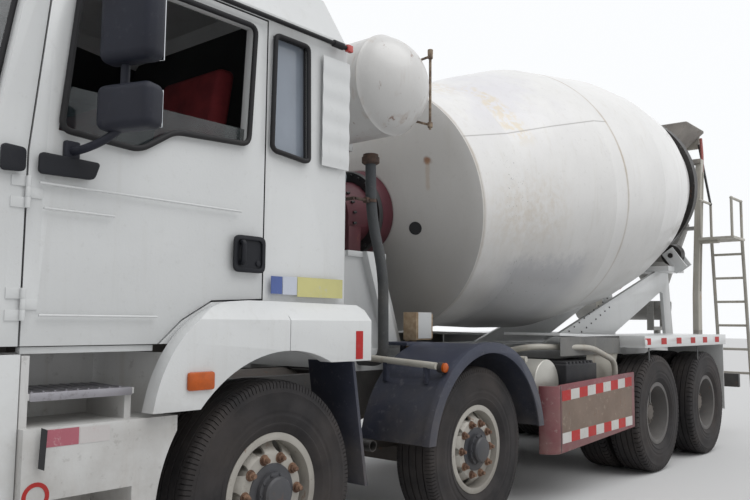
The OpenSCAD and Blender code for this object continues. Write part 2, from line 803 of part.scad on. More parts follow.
// Hopper on two bent posts that stand on the subframe's ends
module hopper() {
    color("#8a6a4c") difference() {
        hopper_form(0);
        hopper_form(12);
    }
    color(white) both_sides() {
        side_plate([[0, sub_top - 120], [150, sub_top - 120], [130 + post_lean[0], post_lean[1]], [-150, post_top],
            [-240, post_top], post_lean], post_y_in, post_y_out, post_x);
        block([post_x - 240, 210, post_top - 60], [post_x - 110, post_y_out, post_top]);
        block([post_x, rail_y, sub_top - 120], [frame_rear + 120, post_y_out, sub_top - 20]);
    }
}

trough_t = 12;
trough_x = rear_x + 560;
trough_r = 520;
trough_top = 2690;
outlet_r = 170;
outlet_z = 1930;

// Half funnel that leads from the drum's mouth down to the chute
module trough() {
    color("#7c7f7e") difference() {
        hull() {
            translate([trough_x, 0, trough_top]) cylinder(h = 10, r = trough_r, $fn = 48);
            translate([swing_x, 0, outlet_z]) cylinder(h = 10, r = outlet_r, $fn = 48);
        }
        hull() {
            translate([trough_x, 0, trough_top + 1]) cylinder(h = 10, r = trough_r - trough_t, $fn = 48);
            translate([swing_x, 0, outlet_z - 1]) cylinder(h = 10, r = outlet_r - trough_t, $fn = 48);
        }
        block([lip_back - 30, -700, 2200], [rear_x + 1200, 700, trough_top + 20]);
    }
    color("#7c7f7e") both_sides() block([trough_x - 60, trough_r - 42, trough_top - 80], [post_x, post_y_in, trough_top - 40]);
}

rung_w = 380;
platform_z = 2480;
ladder_y = 915;
ladder_foot = 560;

foot_tilt = atan2(219, platform_z - ladder_foot);

// Ladder up to a small platform with handrails, on the left at the back
module ladder() {
    foot_x = rear_x + 21 * cos(foot_tilt);
    head_x = rear_x + 240;
    color(steel) {
        for (y = [ladder_y - rung_w / 2, ladder_y + rung_w / 2]) {
            rod([foot_x, y, ladder_foot], [head_x, y, platform_z], 42);
            bent_rod([[head_x, y, platform_z], [head_x, y, platform_z + 500], [head_x + 420, y, platform_z + 500],
                [head_x + 420, y, platform_z]], 34);
        }
        for (i = [0 : 5]) {
            k = (i + 0.6) / 6.2;
            rod([foot_x + (head_x - foot_x) * k, ladder_y - rung_w / 2, ladder_foot + (platform_z - ladder_foot) * k],
                [foot_x + (head_x - foot_x) * k, ladder_y + rung_w / 2, ladder_foot + (platform_z - ladder_foot) * k], 32);
        }
        block([head_x - 20, ladder_y - rung_w / 2 - 30, platform_z - 20], [head_x + 460, ladder_y + rung_w / 2 + 30, platform_z + 10]);
        block([head_x + 300, post_y_out, platform_z - 60], [head_x + 380, ladder_y, platform_z - 19]);
        rod([foot_x + 60, rail_y - 40, 1080], [foot_x + 60, ladder_y - rung_w / 2, 1080], 36);
        block([foot_x + 40, rail_y - 60, 1060], [frame_rear, rail_y - 20, 1100]);
    }
}

tail_x = frame_rear - 120;

// Bar with the tail lamps, on two arms from the rails
module tail_bar() {
    both_sides() {
        block([tail_x - 46, 760, 640], [tail_x - 4, 1130, 760]);
        block([tail_x, rail_y - 60, 650], [frame_rear + 160, rail_y, rail_bottom]);
    }
    block([tail_x - 5, -1180, 620], [tail_x + 60, 1180, 780]);
}

module lamps() {
    color("lightcyan") headlamps();
    color("firebrick") tail_bar();
}

module drum() {
    last = len(drum_profile) - 1;
    color("#e9e7e0") along_drum() rotate_extrude($fn = 96) polygon(concat(
        [[0, drum_front]],
        [for (p = drum_profile) [p[1], p[0]]],
        [for (i = [last : -1 : 1]) [drum_profile[i][1] - drum_wall, drum_profile[i][0] + (i == last ? 0 : (i == 1 ? 12 : 4))]],
        [[0, drum_front + 42]]));
}

module drum_ring() {
    color("#26262a") along_drum() translate([0, 0, ring_s - ring_w / 2]) difference() {
        cylinder(h = ring_w, r = ring_r, $fn = 96);
        translate([0, 0, -1]) cylinder(h = ring_w + 2, r = ring_r - 60, $fn = 96);
    }
}

swing_x = rear_x + 330;
swing_d = 90;
tilt_pin = 40;
chute_t = 10;
chute_tail = 130;
cheek = 20;

// Post that swings in its socket, with a fork for the chute's tilt pins
module chute_bracket() {
    r = chute_w / 2;
    beam_z = chute_pin_z - r - 140;
    color(steel) translate([swing_x, 0, 0]) difference() {
        union() {
            translate([0, 0, rail_top + 10]) cylinder(h = beam_z - rail_top - 9, d = swing_d, $fn = 48);
            translate([0, 0, sub_top + pin_gap]) cylinder(h = 20, d = swing_d + 50, $fn = 48);
            block([-r - 12 - cheek, -45, beam_z], [r + 12 + cheek, 45, beam_z + 50]);
            for (x = [-r - 12 - cheek, r + 12]) block([x, -45, beam_z], [x + cheek, 45, chute_pin_z + 40]);
        }
        translate([0, 0, chute_pin_z]) rotate([0, 90, 0]) cylinder(h = 3 * r, d = tilt_pin + 2 * pin_gap, center = true, $fn = 32);
    }
}

// Half-round chute on its two pins, stowed toward the right side
module chute() {
    r = chute_w / 2;
    color("#7c7f7e") translate([swing_x, 0, chute_pin_z]) {
        difference() {
            translate([0, chute_tail, 0]) rotate([90, 0, 0]) cylinder(h = chute_l, r = r, $fn = 96);
            translate([0, chute_tail + 1, 0]) rotate([90, 0, 0]) cylinder(h = chute_l + 2, r = r - chute_t, $fn = 96);
            block([-r - 1, -chute_l - 1, 45], [r + 1, chute_tail + 1, r + 1]);
        }
        for (x = [-r - 12 - cheek, r - chute_t / 2]) translate([x, 0, 0]) rotate([0, 90, 0]) cylinder(h = 12 + cheek + chute_t / 2, d = tilt_pin, $fn = 32);
    }
}

// Cab

// Side wall with its door opening and quarter window
module cab_side() {
    difference() {
        side_plate(cab_outline, half_cab - wall, half_cab);
        door_hole(half_cab - wall - 1, half_cab + 1);
        side_plate(quarter_outline, half_cab - wall - 1, half_cab + 1);
    }
}

// Opening for the door, wider than the door by its running gap
module door_hole(y0, y1) {
    translate([axle_1, y1, 0]) rotate([90, 0, 0]) linear_extrude(y1 - y0) {
        offset(delta = door_gap) polygon(door_outline);
        translate([700, sill_z - 20]) square([door_front + door_gap - 700, 40]);
    }
}

module cab_shell() {
    floor_y = half_cab - door_t - door_gap;
    color(white) {
        cab_roof();
        both_sides() cab_side();
        block([axle_1 - cab_back, -half_cab + 1, sill_z], [axle_1 - cab_back + wall, half_cab - 1, eave_z]);
        block([axle_1 - cab_back + 1, -floor_y, floor_z - 40], [cab_face - 20, floor_y, floor_z]);
        side_plate([[cab_face - axle_1, sill_z], [cab_face - axle_1 - 6, 1780], screen_foot, screen_foot - [wall, 10],
            [cab_face - axle_1 - 6 - wall, 1770], [cab_face - axle_1 - wall, sill_z]], -half_cab + 1, half_cab - 1);
        side_plate([screen_head, screen_head - [45, 0], [screen_head[0] - 20, eave_z - 60], [screen_head[0] + 20, eave_z - 60]],
            -half_cab + 1, half_cab - 1);
        both_sides() {
            side_plate([screen_foot - [2, 20], screen_head, screen_head - [70, 0], screen_foot - [72, 20]],
                half_cab - 110, half_cab - 1);
            block([axle_1 + 700, floor_y - 40, sill_z], [axle_1 + door_front, floor_y, floor_z - 39]);
            pillar_leaves();
        }
    }
    color("#4a4744") both_sides() difference() {
        union() {
            block([tilt_x - 220, tilt_bracket_y + 26, tilt_z - 20], [tilt_x, tilt_bracket_y + 54, tilt_z + 20]);
            translate([tilt_x, tilt_bracket_y + 54, tilt_z]) rotate([90, 0, 0]) cylinder(h = 28, d = 40, $fn = 32);
            block([tilt_x - 220, tilt_bracket_y + 26, tilt_z - 20], [tilt_x - 180, tilt_bracket_y + 54, floor_z - 20]);
        }
        translate([tilt_x, 0, tilt_z]) rotate([-90, 0, 0]) cylinder(h = 900, d = tilt_pin_d + 2 * pin_gap, $fn = 32);
    }
}

// Raised roof: its side profile crossed with its front profile, both set in by a wall
module roof_form(inset) {
    top = eave_z + roof_h - inset;
    back = -cab_back + inset;
    front = screen_head[0] - inset;
    y = half_cab - inset;
    intersection() {
        side_plate([[back, eave_z - inset], [back, top - 90], [back + 60, top - 20], [back + 160, top], [front - 420, top],
            [front - 180, top - 60], [front - 50, top - 190], [front, eave_z - inset]], -half_cab, half_cab);
        translate([axle_1 - cab_back - 1, 0, 0]) rotate([90, 0, 90]) linear_extrude(cab_back + screen_head[0] + 2)
            polygon([[-y, eave_z - inset], [-y + 30, eave_z + 50], [-y + 190, top - 120], [-y + 330, top - 20], [-y + 460, top],
                [y - 460, top], [y - 330, top - 20], [y - 190, top - 120], [y - 30, eave_z + 50], [y, eave_z - inset]]);
    }
}

module cab_roof() {
    difference() {
        roof_form(0);
        roof_form(wall);
    }
    both_sides() block([axle_1 - cab_back, half_cab - 5, eave_z - 8], [axle_1 + screen_head[0] - 60, half_cab + 14, eave_z + 14]);
}

pane_t = 6;

module cab_glass() {
    color("darkslategray") {
        side_plate([screen_foot - [14, 0], screen_head - [14, 60], screen_head - [20, 60], screen_foot - [20, 0]],
            -half_cab + 111, half_cab - 111);
        both_sides() side_plate(quarter_outline, half_cab - 24, half_cab - 24 + pane_t);
    }
}

module cab_fenders() {
    color(white) both_sides() difference() {
        side_plate(fender_outline, half_cab, half_fender);
        translate([axle_1, half_fender + 1, tyre_r]) rotate([90, 0, 0]) cylinder(h = half_fender - half_cab + 2, r = arch_r, $fn = 128);
    }
}

module seats() {
    color("#7c1a1e") both_sides() {
        block([axle_1 + 20, 320, floor_z + 300], [axle_1 + 520, 840, floor_z + 450]);
        side_plate([[20, floor_z + 450], [160, floor_z + 450], [20, floor_z + 1090], [-90, floor_z + 1090]], 320, 840);
        block([axle_1 + 120, 420, floor_z], [axle_1 + 420, 740, floor_z + 300]);
    }
}

wheel_ring = 225;

module dashboard() {
    side = half_cab - wall - 70;
    color("#3f4347") {
        side_plate([[1370, floor_z], [1365, 1850], [1180, 1930], [1050, 1850], [1050, 1600], [1200, floor_z]], -side, side);
        translate([axle_1 + 900, 580, 1990]) rotate([0, -35, 0]) {
            rotate_extrude($fn = 64) translate([wheel_ring, 0]) circle(16, $fn = 24);
            for (a = [90, 210, 330]) rotate([0, 90, a]) cylinder(h = wheel_ring, d = 18, $fn = 24);
            translate([0, 0, -260]) cylinder(h = 270, d = 60, $fn = 32);
        }
    }
}

door_t = 50;

hinge_x = axle_1 + door_front + door_gap / 2;
hinge_y = half_cab + 14;
hinge_d = 20;
hinge_pin_d = 10;
hinge_h = 40;
hinge_zs = [1400, 1820];

// Door's share of its hinges: a leaf on the skin and a bored knuckle
module door_leaves() {
    for (z = hinge_zs) translate([hinge_x, 0, z]) difference() {
        union() {
            translate([-60, half_cab - 1, 0]) cube([60, 7, hinge_h]);
            translate([0, hinge_y, 0]) cylinder(h = hinge_h, d = hinge_d, $fn = 32);
        }
        translate([0, hinge_y, -1]) cylinder(h = hinge_h + 2, d = hinge_pin_d + 2 * pin_gap, $fn = 32);
    }
}

// Cab's share: a knuckle above and below the door's, with the pin through all three
module pillar_leaves() {
    for (z = hinge_zs) translate([hinge_x, 0, z]) {
        for (dz = [-hinge_h - 0.5, hinge_h + 0.5]) translate([0, 0, dz]) {
            translate([door_gap / 2 + 1, half_cab - 1, 0]) cube([55, 7, hinge_h]);
            translate([0, hinge_y - hinge_d / 2 + 1, 0]) cube([door_gap / 2 + 2, 6, hinge_h]);
            translate([0, hinge_y, 0]) cylinder(h = hinge_h, d = hinge_d, $fn = 32);
        }
        translate([0, hinge_y, -hinge_h]) cylinder(h = 3 * hinge_h, d = hinge_pin_d, $fn = 32);
    }
}

module door(side) {
    on_side(side) color(white) {
        difference() {
            side_plate(door_outline, half_cab - door_t, half_cab);
            side_plate(window_outline, half_cab - door_t - 1, half_cab + 1);
        }
        door_leaves();
    }
}

module door_left() { door(1); }
module door_right() { door(-1); }

module door_glass(side) {
    outline = side > 0 ? lowered_outline : window_outline;
    on_side(side) color("darkslategray") side_plate(outline, half_cab - 24, half_cab - 24 + pane_t);
}

module door_glass_left() { door_glass(1); }
module door_glass_right() { door_glass(-1); }

mirror_x = 1015;
mirror_y = 1400;
mirror_turn = 19;
mirror_w = 255;

module mirror_pair(side) {
    on_side(side) color(dark_blue) {
        translate([axle_1 + mirror_x, mirror_y, 0]) rotate([0, 0, mirror_turn]) {
            block([-55, -mirror_w / 2, 2086], [55, mirror_w / 2, 2264]);
            block([-55, -mirror_w / 2, 2350], [55, mirror_w / 2, 2750]);
        }
        block([axle_1 + 1080, half_cab, 1985], [axle_1 + 1140, half_cab + 24, 2060]);
        bent_rod([[axle_1 + 1110, half_cab + 12, 2020], [axle_1 + 1105, half_cab + 80, 2020], [axle_1 + mirror_x, mirror_y - 40, 2094]], 30);
        rod([axle_1 + mirror_x, mirror_y - 40, 2255], [axle_1 + mirror_x, mirror_y - 40, 2360], 40);
    }
}

module mirror_left() { mirror_pair(1); }
module mirror_right() { mirror_pair(-1); }

// Wheels and knuckles

module knuckle(x, side) {
    lug_t = 28;
    color("#33302d") on_side(side) translate([x, kingpin_y, tyre_r]) {
        for (s = [-1, 1]) translate([0, 0, s * (eye_h / 2 + 5 + lug_t / 2) - lug_t / 2]) cylinder(h = lug_t, d = eye_d, $fn = 48);
        translate([0, 0, -eye_h / 2 - 6]) cylinder(h = eye_h + 12, d = kingpin_d, $fn = 48);
        difference() {
            translate([-60, 0, -eye_h / 2 - 5 - lug_t]) cube([120, 86, eye_h + 10 + 2 * lug_t]);
            translate([0, 0, -eye_h / 2 - 5]) cylinder(h = eye_h + 10, d = eye_d + 14, $fn = 48);
        }
        translate([0, 70, 0]) rotate([-90, 0, 0]) cylinder(h = 190, d = 80, $fn = 48);
    }
}

module knuckle_1_left() { knuckle(axle_1, 1); }
module knuckle_1_right() { knuckle(axle_1, -1); }
module knuckle_2_left() { knuckle(axle_2, 1); }
module knuckle_2_right() { knuckle(axle_2, -1); }

bead = tyre_w / 2 * 0.72;
bead_r = rim_r - 22;
flange_t = 14;
disc_t = 14;
spindle_gap = 0.3;

// Tyre standing at a width: its section is given as radius, then width
module tyre(y) {
    r = tyre_r;
    w = tyre_w / 2;
    half = [[bead_r, bead], [rim_r + 2, bead], [rim_r + 18, w * 0.86], [r - 150, w], [r - 70, w * 0.97],
        [r - 14, w * 0.84], [r, w * 0.7]];
    translate([0, y, 0]) rotate([90, 0, 0]) rotate_extrude($fn = 96)
        polygon(concat(half, [for (i = [len(half) - 1 : -1 : 0]) [half[i][0], -half[i][1]]]));
}

// Rim at a width: barrel with two flanges and a disc; face is the disc's place from the middle
module rim(y, face) {
    s = face > 0 ? 1 : -1;
    inner = bead_r - rim_t;
    translate([0, y, 0]) rotate([-90, 0, 0]) difference() {
        rotate_extrude($fn = 96) {
            translate([inner, -bead - flange_t]) square([rim_t, 2 * (bead + flange_t)]);
            for (z = [-bead - flange_t, bead]) translate([inner, z]) square([rim_r - inner, flange_t]);
            polygon([[inner + 1, face - s * 90], [inner + 1, face - s * (90 - disc_t)], [190, face], [100, face],
                [100, face - s * disc_t], [185, face - s * disc_t]]);
        }
        for (i = [0 : vent_count - 1]) rotate([0, 0, i * 360 / vent_count]) translate([217, 0, face - s * 50])
            cylinder(h = 160, d = 58, center = true, $fn = 32);
    }
}

// Solid of revolution about the wheel's axle, between two widths
module turned(y0, y1, d) {
    translate([0, y0, 0]) rotate([-90, 0, 0]) cylinder(h = y1 - y0, d = d, $fn = 64);
}

steer_spindle_d = 80;
steer_face = 112;
brake_d = 400;

module steer_rim(x, side) {
    y = front_track / 2;
    color(steel) on_side(side) translate([x, 0, tyre_r]) {
        rim(y, steer_face);
        difference() {
            union() {
                turned(y - 20, y + steer_face - disc_t + 1, 2 * 190);
                turned(y + steer_face - disc_t, y + steer_face + 1, 202);
                turned(y + steer_face, y + 160, 150);
                turned(y - 60, y - 19, brake_d);
            }
            turned(y - 61, y + steer_spindle_end + 1, steer_spindle_d + 2 * spindle_gap);
            turned(y - 61, y - 30, brake_d - 30);
        }
    }
}

steer_spindle_end = 137;

module twin_rims(x, side) {
    color(steel) on_side(side) translate([x, 0, tyre_r]) {
        rim(hub_face - twin_gap / 2, twin_gap / 2);
        rim(hub_face + twin_gap / 2, -twin_gap / 2);
        difference() {
            union() {
                turned(hub_face - disc_t - 215, hub_face - disc_t, 410);
                turned(hub_face - disc_t - 1, hub_face + 100, 201);
                turned(hub_face + 99, hub_face + 190, 230);
                turned(hub_face + 189, hub_face + 215, 150);
            }
            turned(hub_face - disc_t - 216, hub_face + 91, spindle_d + 2 * spindle_gap);
        }
    }
}

module steer_tyre(x, side) {
    color("#2b2a29") on_side(side) translate([x, 0, tyre_r]) tyre(front_track / 2);
}

module twin_tyres(x, side) {
    color("#2b2a29") on_side(side) translate([x, 0, tyre_r]) for (d = [-1, 1]) tyre(hub_face + d * twin_gap / 2);
}

module tyre_1_left() { steer_tyre(axle_1, 1); }
module tyre_1_right() { steer_tyre(axle_1, -1); }
module tyre_2_left() { steer_tyre(axle_2, 1); }
module tyre_2_right() { steer_tyre(axle_2, -1); }
module tyres_3_left() { twin_tyres(axle_3, 1); }
module tyres_3_right() { twin_tyres(axle_3, -1); }
module tyres_4_left() { twin_tyres(axle_4, 1); }
module tyres_4_right() { twin_tyres(axle_4, -1); }
module rim_1_left() { steer_rim(axle_1, 1); }
module rim_1_right() { steer_rim(axle_1, -1); }
module rim_2_left() { steer_rim(axle_2, 1); }
module rim_2_right() { steer_rim(axle_2, -1); }
module rims_3_left() { twin_rims(axle_3, 1); }
module rims_3_right() { twin_rims(axle_3, -1); }
module rims_4_left() { twin_rims(axle_4, 1); }
module rims_4_right() { twin_rims(axle_4, -1); }

frame();
subframe();
steer_axles();
drive_axles();
springs();
drive_line();
bumper();
lamps();
step_wells();
mudguards();
pipes();
rear_fenders();
side_guards();
tanks();
battery_box();
water_tank();
front_pedestal();
drum_gearbox();
sign_box();
rear_pedestal();
hopper();
trough();
ladder();
drum();
drum_ring();
roller_left();
roller_right();
chute_bracket();
chute();
cab_shell();
cab_glass();
cab_fenders();
seats();
dashboard();
door_left();
door_right();
door_glass_left();
door_glass_right();
mirror_left();
mirror_right();
knuckle_1_left();
knuckle_1_right();
knuckle_2_left();
knuckle_2_right();
tyre_1_left();
tyre_1_right();
tyre_2_left();
tyre_2_right();
tyres_3_left();
tyres_3_right();
tyres_4_left();
tyres_4_right();
rim_1_left();
rim_1_right();
rim_2_left();
rim_2_right();
rims_3_left();
rims_3_right();
rims_4_left();
rims_4_right();
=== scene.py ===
import json
import math

import bmesh
import bpy
from mathutils import Matrix, Vector


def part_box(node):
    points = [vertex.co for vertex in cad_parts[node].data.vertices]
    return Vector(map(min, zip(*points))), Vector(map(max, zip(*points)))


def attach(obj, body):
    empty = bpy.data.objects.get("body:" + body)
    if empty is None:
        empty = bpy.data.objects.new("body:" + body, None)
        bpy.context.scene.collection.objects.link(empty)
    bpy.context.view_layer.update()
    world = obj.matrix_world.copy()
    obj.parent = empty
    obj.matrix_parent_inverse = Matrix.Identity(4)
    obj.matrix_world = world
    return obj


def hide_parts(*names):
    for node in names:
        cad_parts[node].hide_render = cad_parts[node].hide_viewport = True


print("Loading the packed mixer truck")
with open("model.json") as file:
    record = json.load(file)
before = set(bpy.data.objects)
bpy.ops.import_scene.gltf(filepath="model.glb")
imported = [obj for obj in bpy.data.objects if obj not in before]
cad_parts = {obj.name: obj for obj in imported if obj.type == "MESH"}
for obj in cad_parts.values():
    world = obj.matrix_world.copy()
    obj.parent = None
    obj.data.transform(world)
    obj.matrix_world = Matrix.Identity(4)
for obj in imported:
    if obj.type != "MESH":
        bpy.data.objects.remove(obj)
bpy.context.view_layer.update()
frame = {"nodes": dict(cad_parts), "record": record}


def middleOf(node):
    low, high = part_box(node)
    return (low + high) / 2


wheelCentres = {
    (axle, side): middleOf(f"{'tyre' if axle < 3 else 'tyres'}_{axle}_{side}")
    for axle in (1, 2, 3, 4)
    for side in ("left", "right")
}
axleX = {axle: wheelCentres[(axle, "left")].x for axle in (1, 2, 3, 4)}
wheelRadius = wheelCentres[(1, "left")].z


def ahead(x):
    # a place that is measured from the first axle
    return axleX[1] + x


def fromAxle(points):
    return [(ahead(x), y, z) for x, y, z in points]


# Camera, light and floor

photoView = {
    "place": (6.080, 4.014, 1.368),
    "yaw": -139.594,
    "pitch": 5.256,
    "roll": 0.549,
    "focalPixels": 780.15,
    "imageWidth": 750,
    "sensor": 36,
}


def addCamera(view):
    yaw, pitch, roll = (math.radians(view[key]) for key in ("yaw", "pitch", "roll"))
    ahead = Vector((math.cos(yaw) * math.cos(pitch), math.sin(yaw) * math.cos(pitch), math.sin(pitch)))
    level = Vector((math.sin(yaw), -math.cos(yaw), 0))
    upright = level.cross(ahead)
    right = level * math.cos(roll) + upright * math.sin(roll)
    up = upright * math.cos(roll) - level * math.sin(roll)
    bpy.ops.object.camera_add(location=view["place"])
    camera = bpy.context.object
    camera.name = "photoCamera"
    camera.rotation_euler = Matrix((right, up, -ahead)).transposed().to_euler()
    camera.data.sensor_width = view["sensor"]
    camera.data.lens = view["focalPixels"] * view["sensor"] / view["imageWidth"]
    camera.data.clip_end = 200
    bpy.context.scene.camera = camera


studio = {
    "floorSize": 160,
    "floorShade": 0.62,
    "skyLight": 0.56,
    "topLight": 1.55,
    "topSpread": 60,
    "topTurn": (-27, -6, 0),
}


def addStudio(look):
    bpy.ops.mesh.primitive_plane_add(size=look["floorSize"], location=(0, 0, 0))
    floor = bpy.context.object
    floor.name = "studioFloor"
    paint = bpy.data.materials.new("floorPaint")
    paint.use_nodes = True
    shader = paint.node_tree.nodes["Principled BSDF"]
    shader.inputs["Base Color"].default_value = (look["floorShade"],) * 3 + (1,)
    shader.inputs["Roughness"].default_value = 0.9
    floor.data.materials.append(paint)

    world = bpy.data.worlds.new("studioWorld")
    world.use_nodes = True
    bpy.context.scene.world = world
    nodes, links = world.node_tree.nodes, world.node_tree.links
    background = nodes["Background"]
    rays = nodes.new("ShaderNodeLightPath")
    seen, straight = (nodes.new("ShaderNodeMath") for _ in range(2))
    seen.operation = straight.operation = "MAXIMUM"
    links.new(rays.outputs["Is Camera Ray"], straight.inputs[0])
    links.new(rays.outputs["Is Transmission Ray"], straight.inputs[1])
    links.new(straight.outputs[0], seen.inputs[0])
    links.new(rays.outputs["Is Glossy Ray"], seen.inputs[1])
    strength = nodes.new("ShaderNodeMapRange")
    strength.inputs["To Min"].default_value = look["skyLight"]
    strength.inputs["To Max"].default_value = 1
    links.new(seen.outputs[0], strength.inputs["Value"])
    links.new(strength.outputs["Result"], background.inputs["Strength"])
    background.inputs["Color"].default_value = (0.97, 0.985, 1, 1)

    bpy.ops.object.light_add(type="SUN", location=(0, 0, 12))
    lamp = bpy.context.object
    lamp.name = "topLight"
    lamp.data.energy = look["topLight"]
    lamp.data.angle = math.radians(look["topSpread"])
    lamp.rotation_euler = [math.radians(turn) for turn in look["topTurn"]]
    bpy.context.scene.view_settings.view_transform = "Standard"


print("Setting up the camera, floor and light")
addCamera(photoView)
addStudio(studio)

# Finishes


class Signal:
    # one socket's value; sums and products of signals add their own Math nodes
    def __init__(self, finish, socket):
        self.finish = finish
        self.socket = socket

    def work(self, operation, first, second):
        return self.finish.add("Math", {"operation": operation}, {0: first, 1: second})

    def __add__(self, other):
        return self.work("ADD", self, other)

    def __sub__(self, other):
        return self.work("SUBTRACT", self, other)

    def __rsub__(self, other):
        return self.work("SUBTRACT", other, self)

    def __mul__(self, other):
        return self.work("MULTIPLY", self, other)

    def __pow__(self, other):
        return self.work("POWER", self, other)

    __radd__ = __add__
    __rmul__ = __mul__

    def size(self):
        return self.finish.add("Math", {"operation": "ABSOLUTE"}, {0: self})


class Finish:
    def __init__(self, name, roughness=0.5, metallic=0.0, coat=0.0):
        self.material = bpy.data.materials.new(name)
        self.material.use_nodes = True
        self.tree = self.material.node_tree
        self.shader = self.tree.nodes["Principled BSDF"]
        self.set("Roughness", roughness)
        self.set("Metallic", metallic)
        self.set("Coat Weight", coat)
        self.place = self.add("TexCoord", {}, {}, "Object")

    def add(self, kind, settings, sockets, output=0):
        node = self.tree.nodes.new("ShaderNode" + kind)
        for key, value in settings.items():
            setattr(node, key, value)
        for key, value in sockets.items():
            self.feed(node.inputs[key], value)
        return Signal(self, node.outputs[output])

    def feed(self, socket, value):
        if isinstance(value, Signal):
            self.tree.links.new(value.socket, socket)
        elif isinstance(value, tuple) and len(value) == 3 and socket.type == "RGBA":
            socket.default_value = value + (1,)
        else:
            socket.default_value = value

    def set(self, key, value):
        self.feed(self.shader.inputs[key], value)

    def along(self, axis):
        return self.add("SeparateXYZ", {}, {0: self.place}, axis)

    def noise(self, scale, detail=4, stretch=(1, 1, 1), rough=0.6):
        place = self.add("VectorMath", {"operation": "MULTIPLY"}, {0: self.place, 1: stretch})
        return self.add("TexNoise", {}, {"Vector": place, "Scale": scale, "Detail": detail,
                                         "Roughness": rough})

    def spread(self, value, low, high):
        # 0 at low, 1 at high, smooth between
        return self.add("MapRange", {"interpolation_type": "SMOOTHSTEP"},
                        {0: value, 1: low, 2: high, 3: 0, 4: 1})

    def dot(self, direction, centre=(0, 0, 0)):
        moved = self.add("VectorMath", {"operation": "SUBTRACT"}, {0: self.place, 1: centre})
        return self.add("VectorMath", {"operation": "DOT_PRODUCT"}, {0: moved, 1: direction}, 1)

    def band(self, value, low, high, soft):
        return self.spread(value, low - soft, low + soft) * (1 - self.spread(value, high - soft, high + soft))

    def paint(self, mask, colour):
        # lays a colour over what the shader has so far
        self.shade = self.mix(mask, self.shade, colour)
        self.set("Base Color", self.shade)

    def mix(self, mask, first, second):
        return self.add("Mix", {"data_type": "RGBA"}, {0: mask, 6: first, 7: second}, 2)

    def bump(self, height, strength, distance):
        self.set("Normal", self.add("Bump", {}, {"Strength": strength, "Distance": distance,
                                                 "Height": height}))


def paintwork(name, colour, roughness=0.4, coat=0.0, metallic=0.0, fade=0.06, dust=None, streaks=None,
              rust=None, scuffs=None, grain=None, shine=0.5):
    # paint, plastic or metal with its wear; each kind of wear is (colour, amount, ...)
    finish = Finish(name, roughness, metallic, coat)
    finish.set("Specular IOR Level", shine)
    cloud = finish.noise(1.7, 5)
    shade = finish.mix(finish.spread(cloud, 0.3, 0.7), tuple(c * (1 - fade) for c in colour),
                       tuple(min(1, c * (1 + fade)) for c in colour))
    worn = cloud * 0.0
    if streaks:
        runs = finish.spread(finish.noise(1, 5, (14, 14, 0.8)), 0.52, 0.78) * streaks[1]
        shade = finish.mix(runs, shade, streaks[0])
        worn = worn + runs
    if scuffs:
        marks = finish.spread(finish.noise(22, 8, (1, 1, 1), 0.75), 0.56, 0.66) * scuffs[1]
        shade = finish.mix(marks, shade, scuffs[0])
        worn = worn + marks
    if rust:
        spots = finish.spread(finish.noise(rust[2], 6, (1, 1, 0.6)), 0.62, 0.72) * rust[1]
        shade = finish.mix(spots, shade, rust[0])
        worn = worn + spots
    if dust:
        height = finish.spread(finish.along(2), dust[3], dust[2])
        film = height * finish.spread(finish.noise(3.2, 7), 0.25, 0.75) * dust[1]
        shade = finish.mix(film, shade, dust[0])
        worn = worn + film
    finish.shade = shade
    finish.set("Base Color", shade)
    rougher = finish.spread(worn, 0, 1) * (0.9 - roughness) + roughness
    finish.set("Roughness", rougher)
    if metallic:
        finish.set("Metallic", (1 - finish.spread(worn, 0, 0.8)) * metallic)
    size, depth = grain or (90, 0.15)
    finish.bump(finish.noise(size, 4), depth, 0.004)
    return finish


roadDust = (0.30, 0.265, 0.22)
darkDust = (0.17, 0.15, 0.13)
rustBrown = (0.20, 0.075, 0.03)
rustTan = (0.42, 0.28, 0.15)

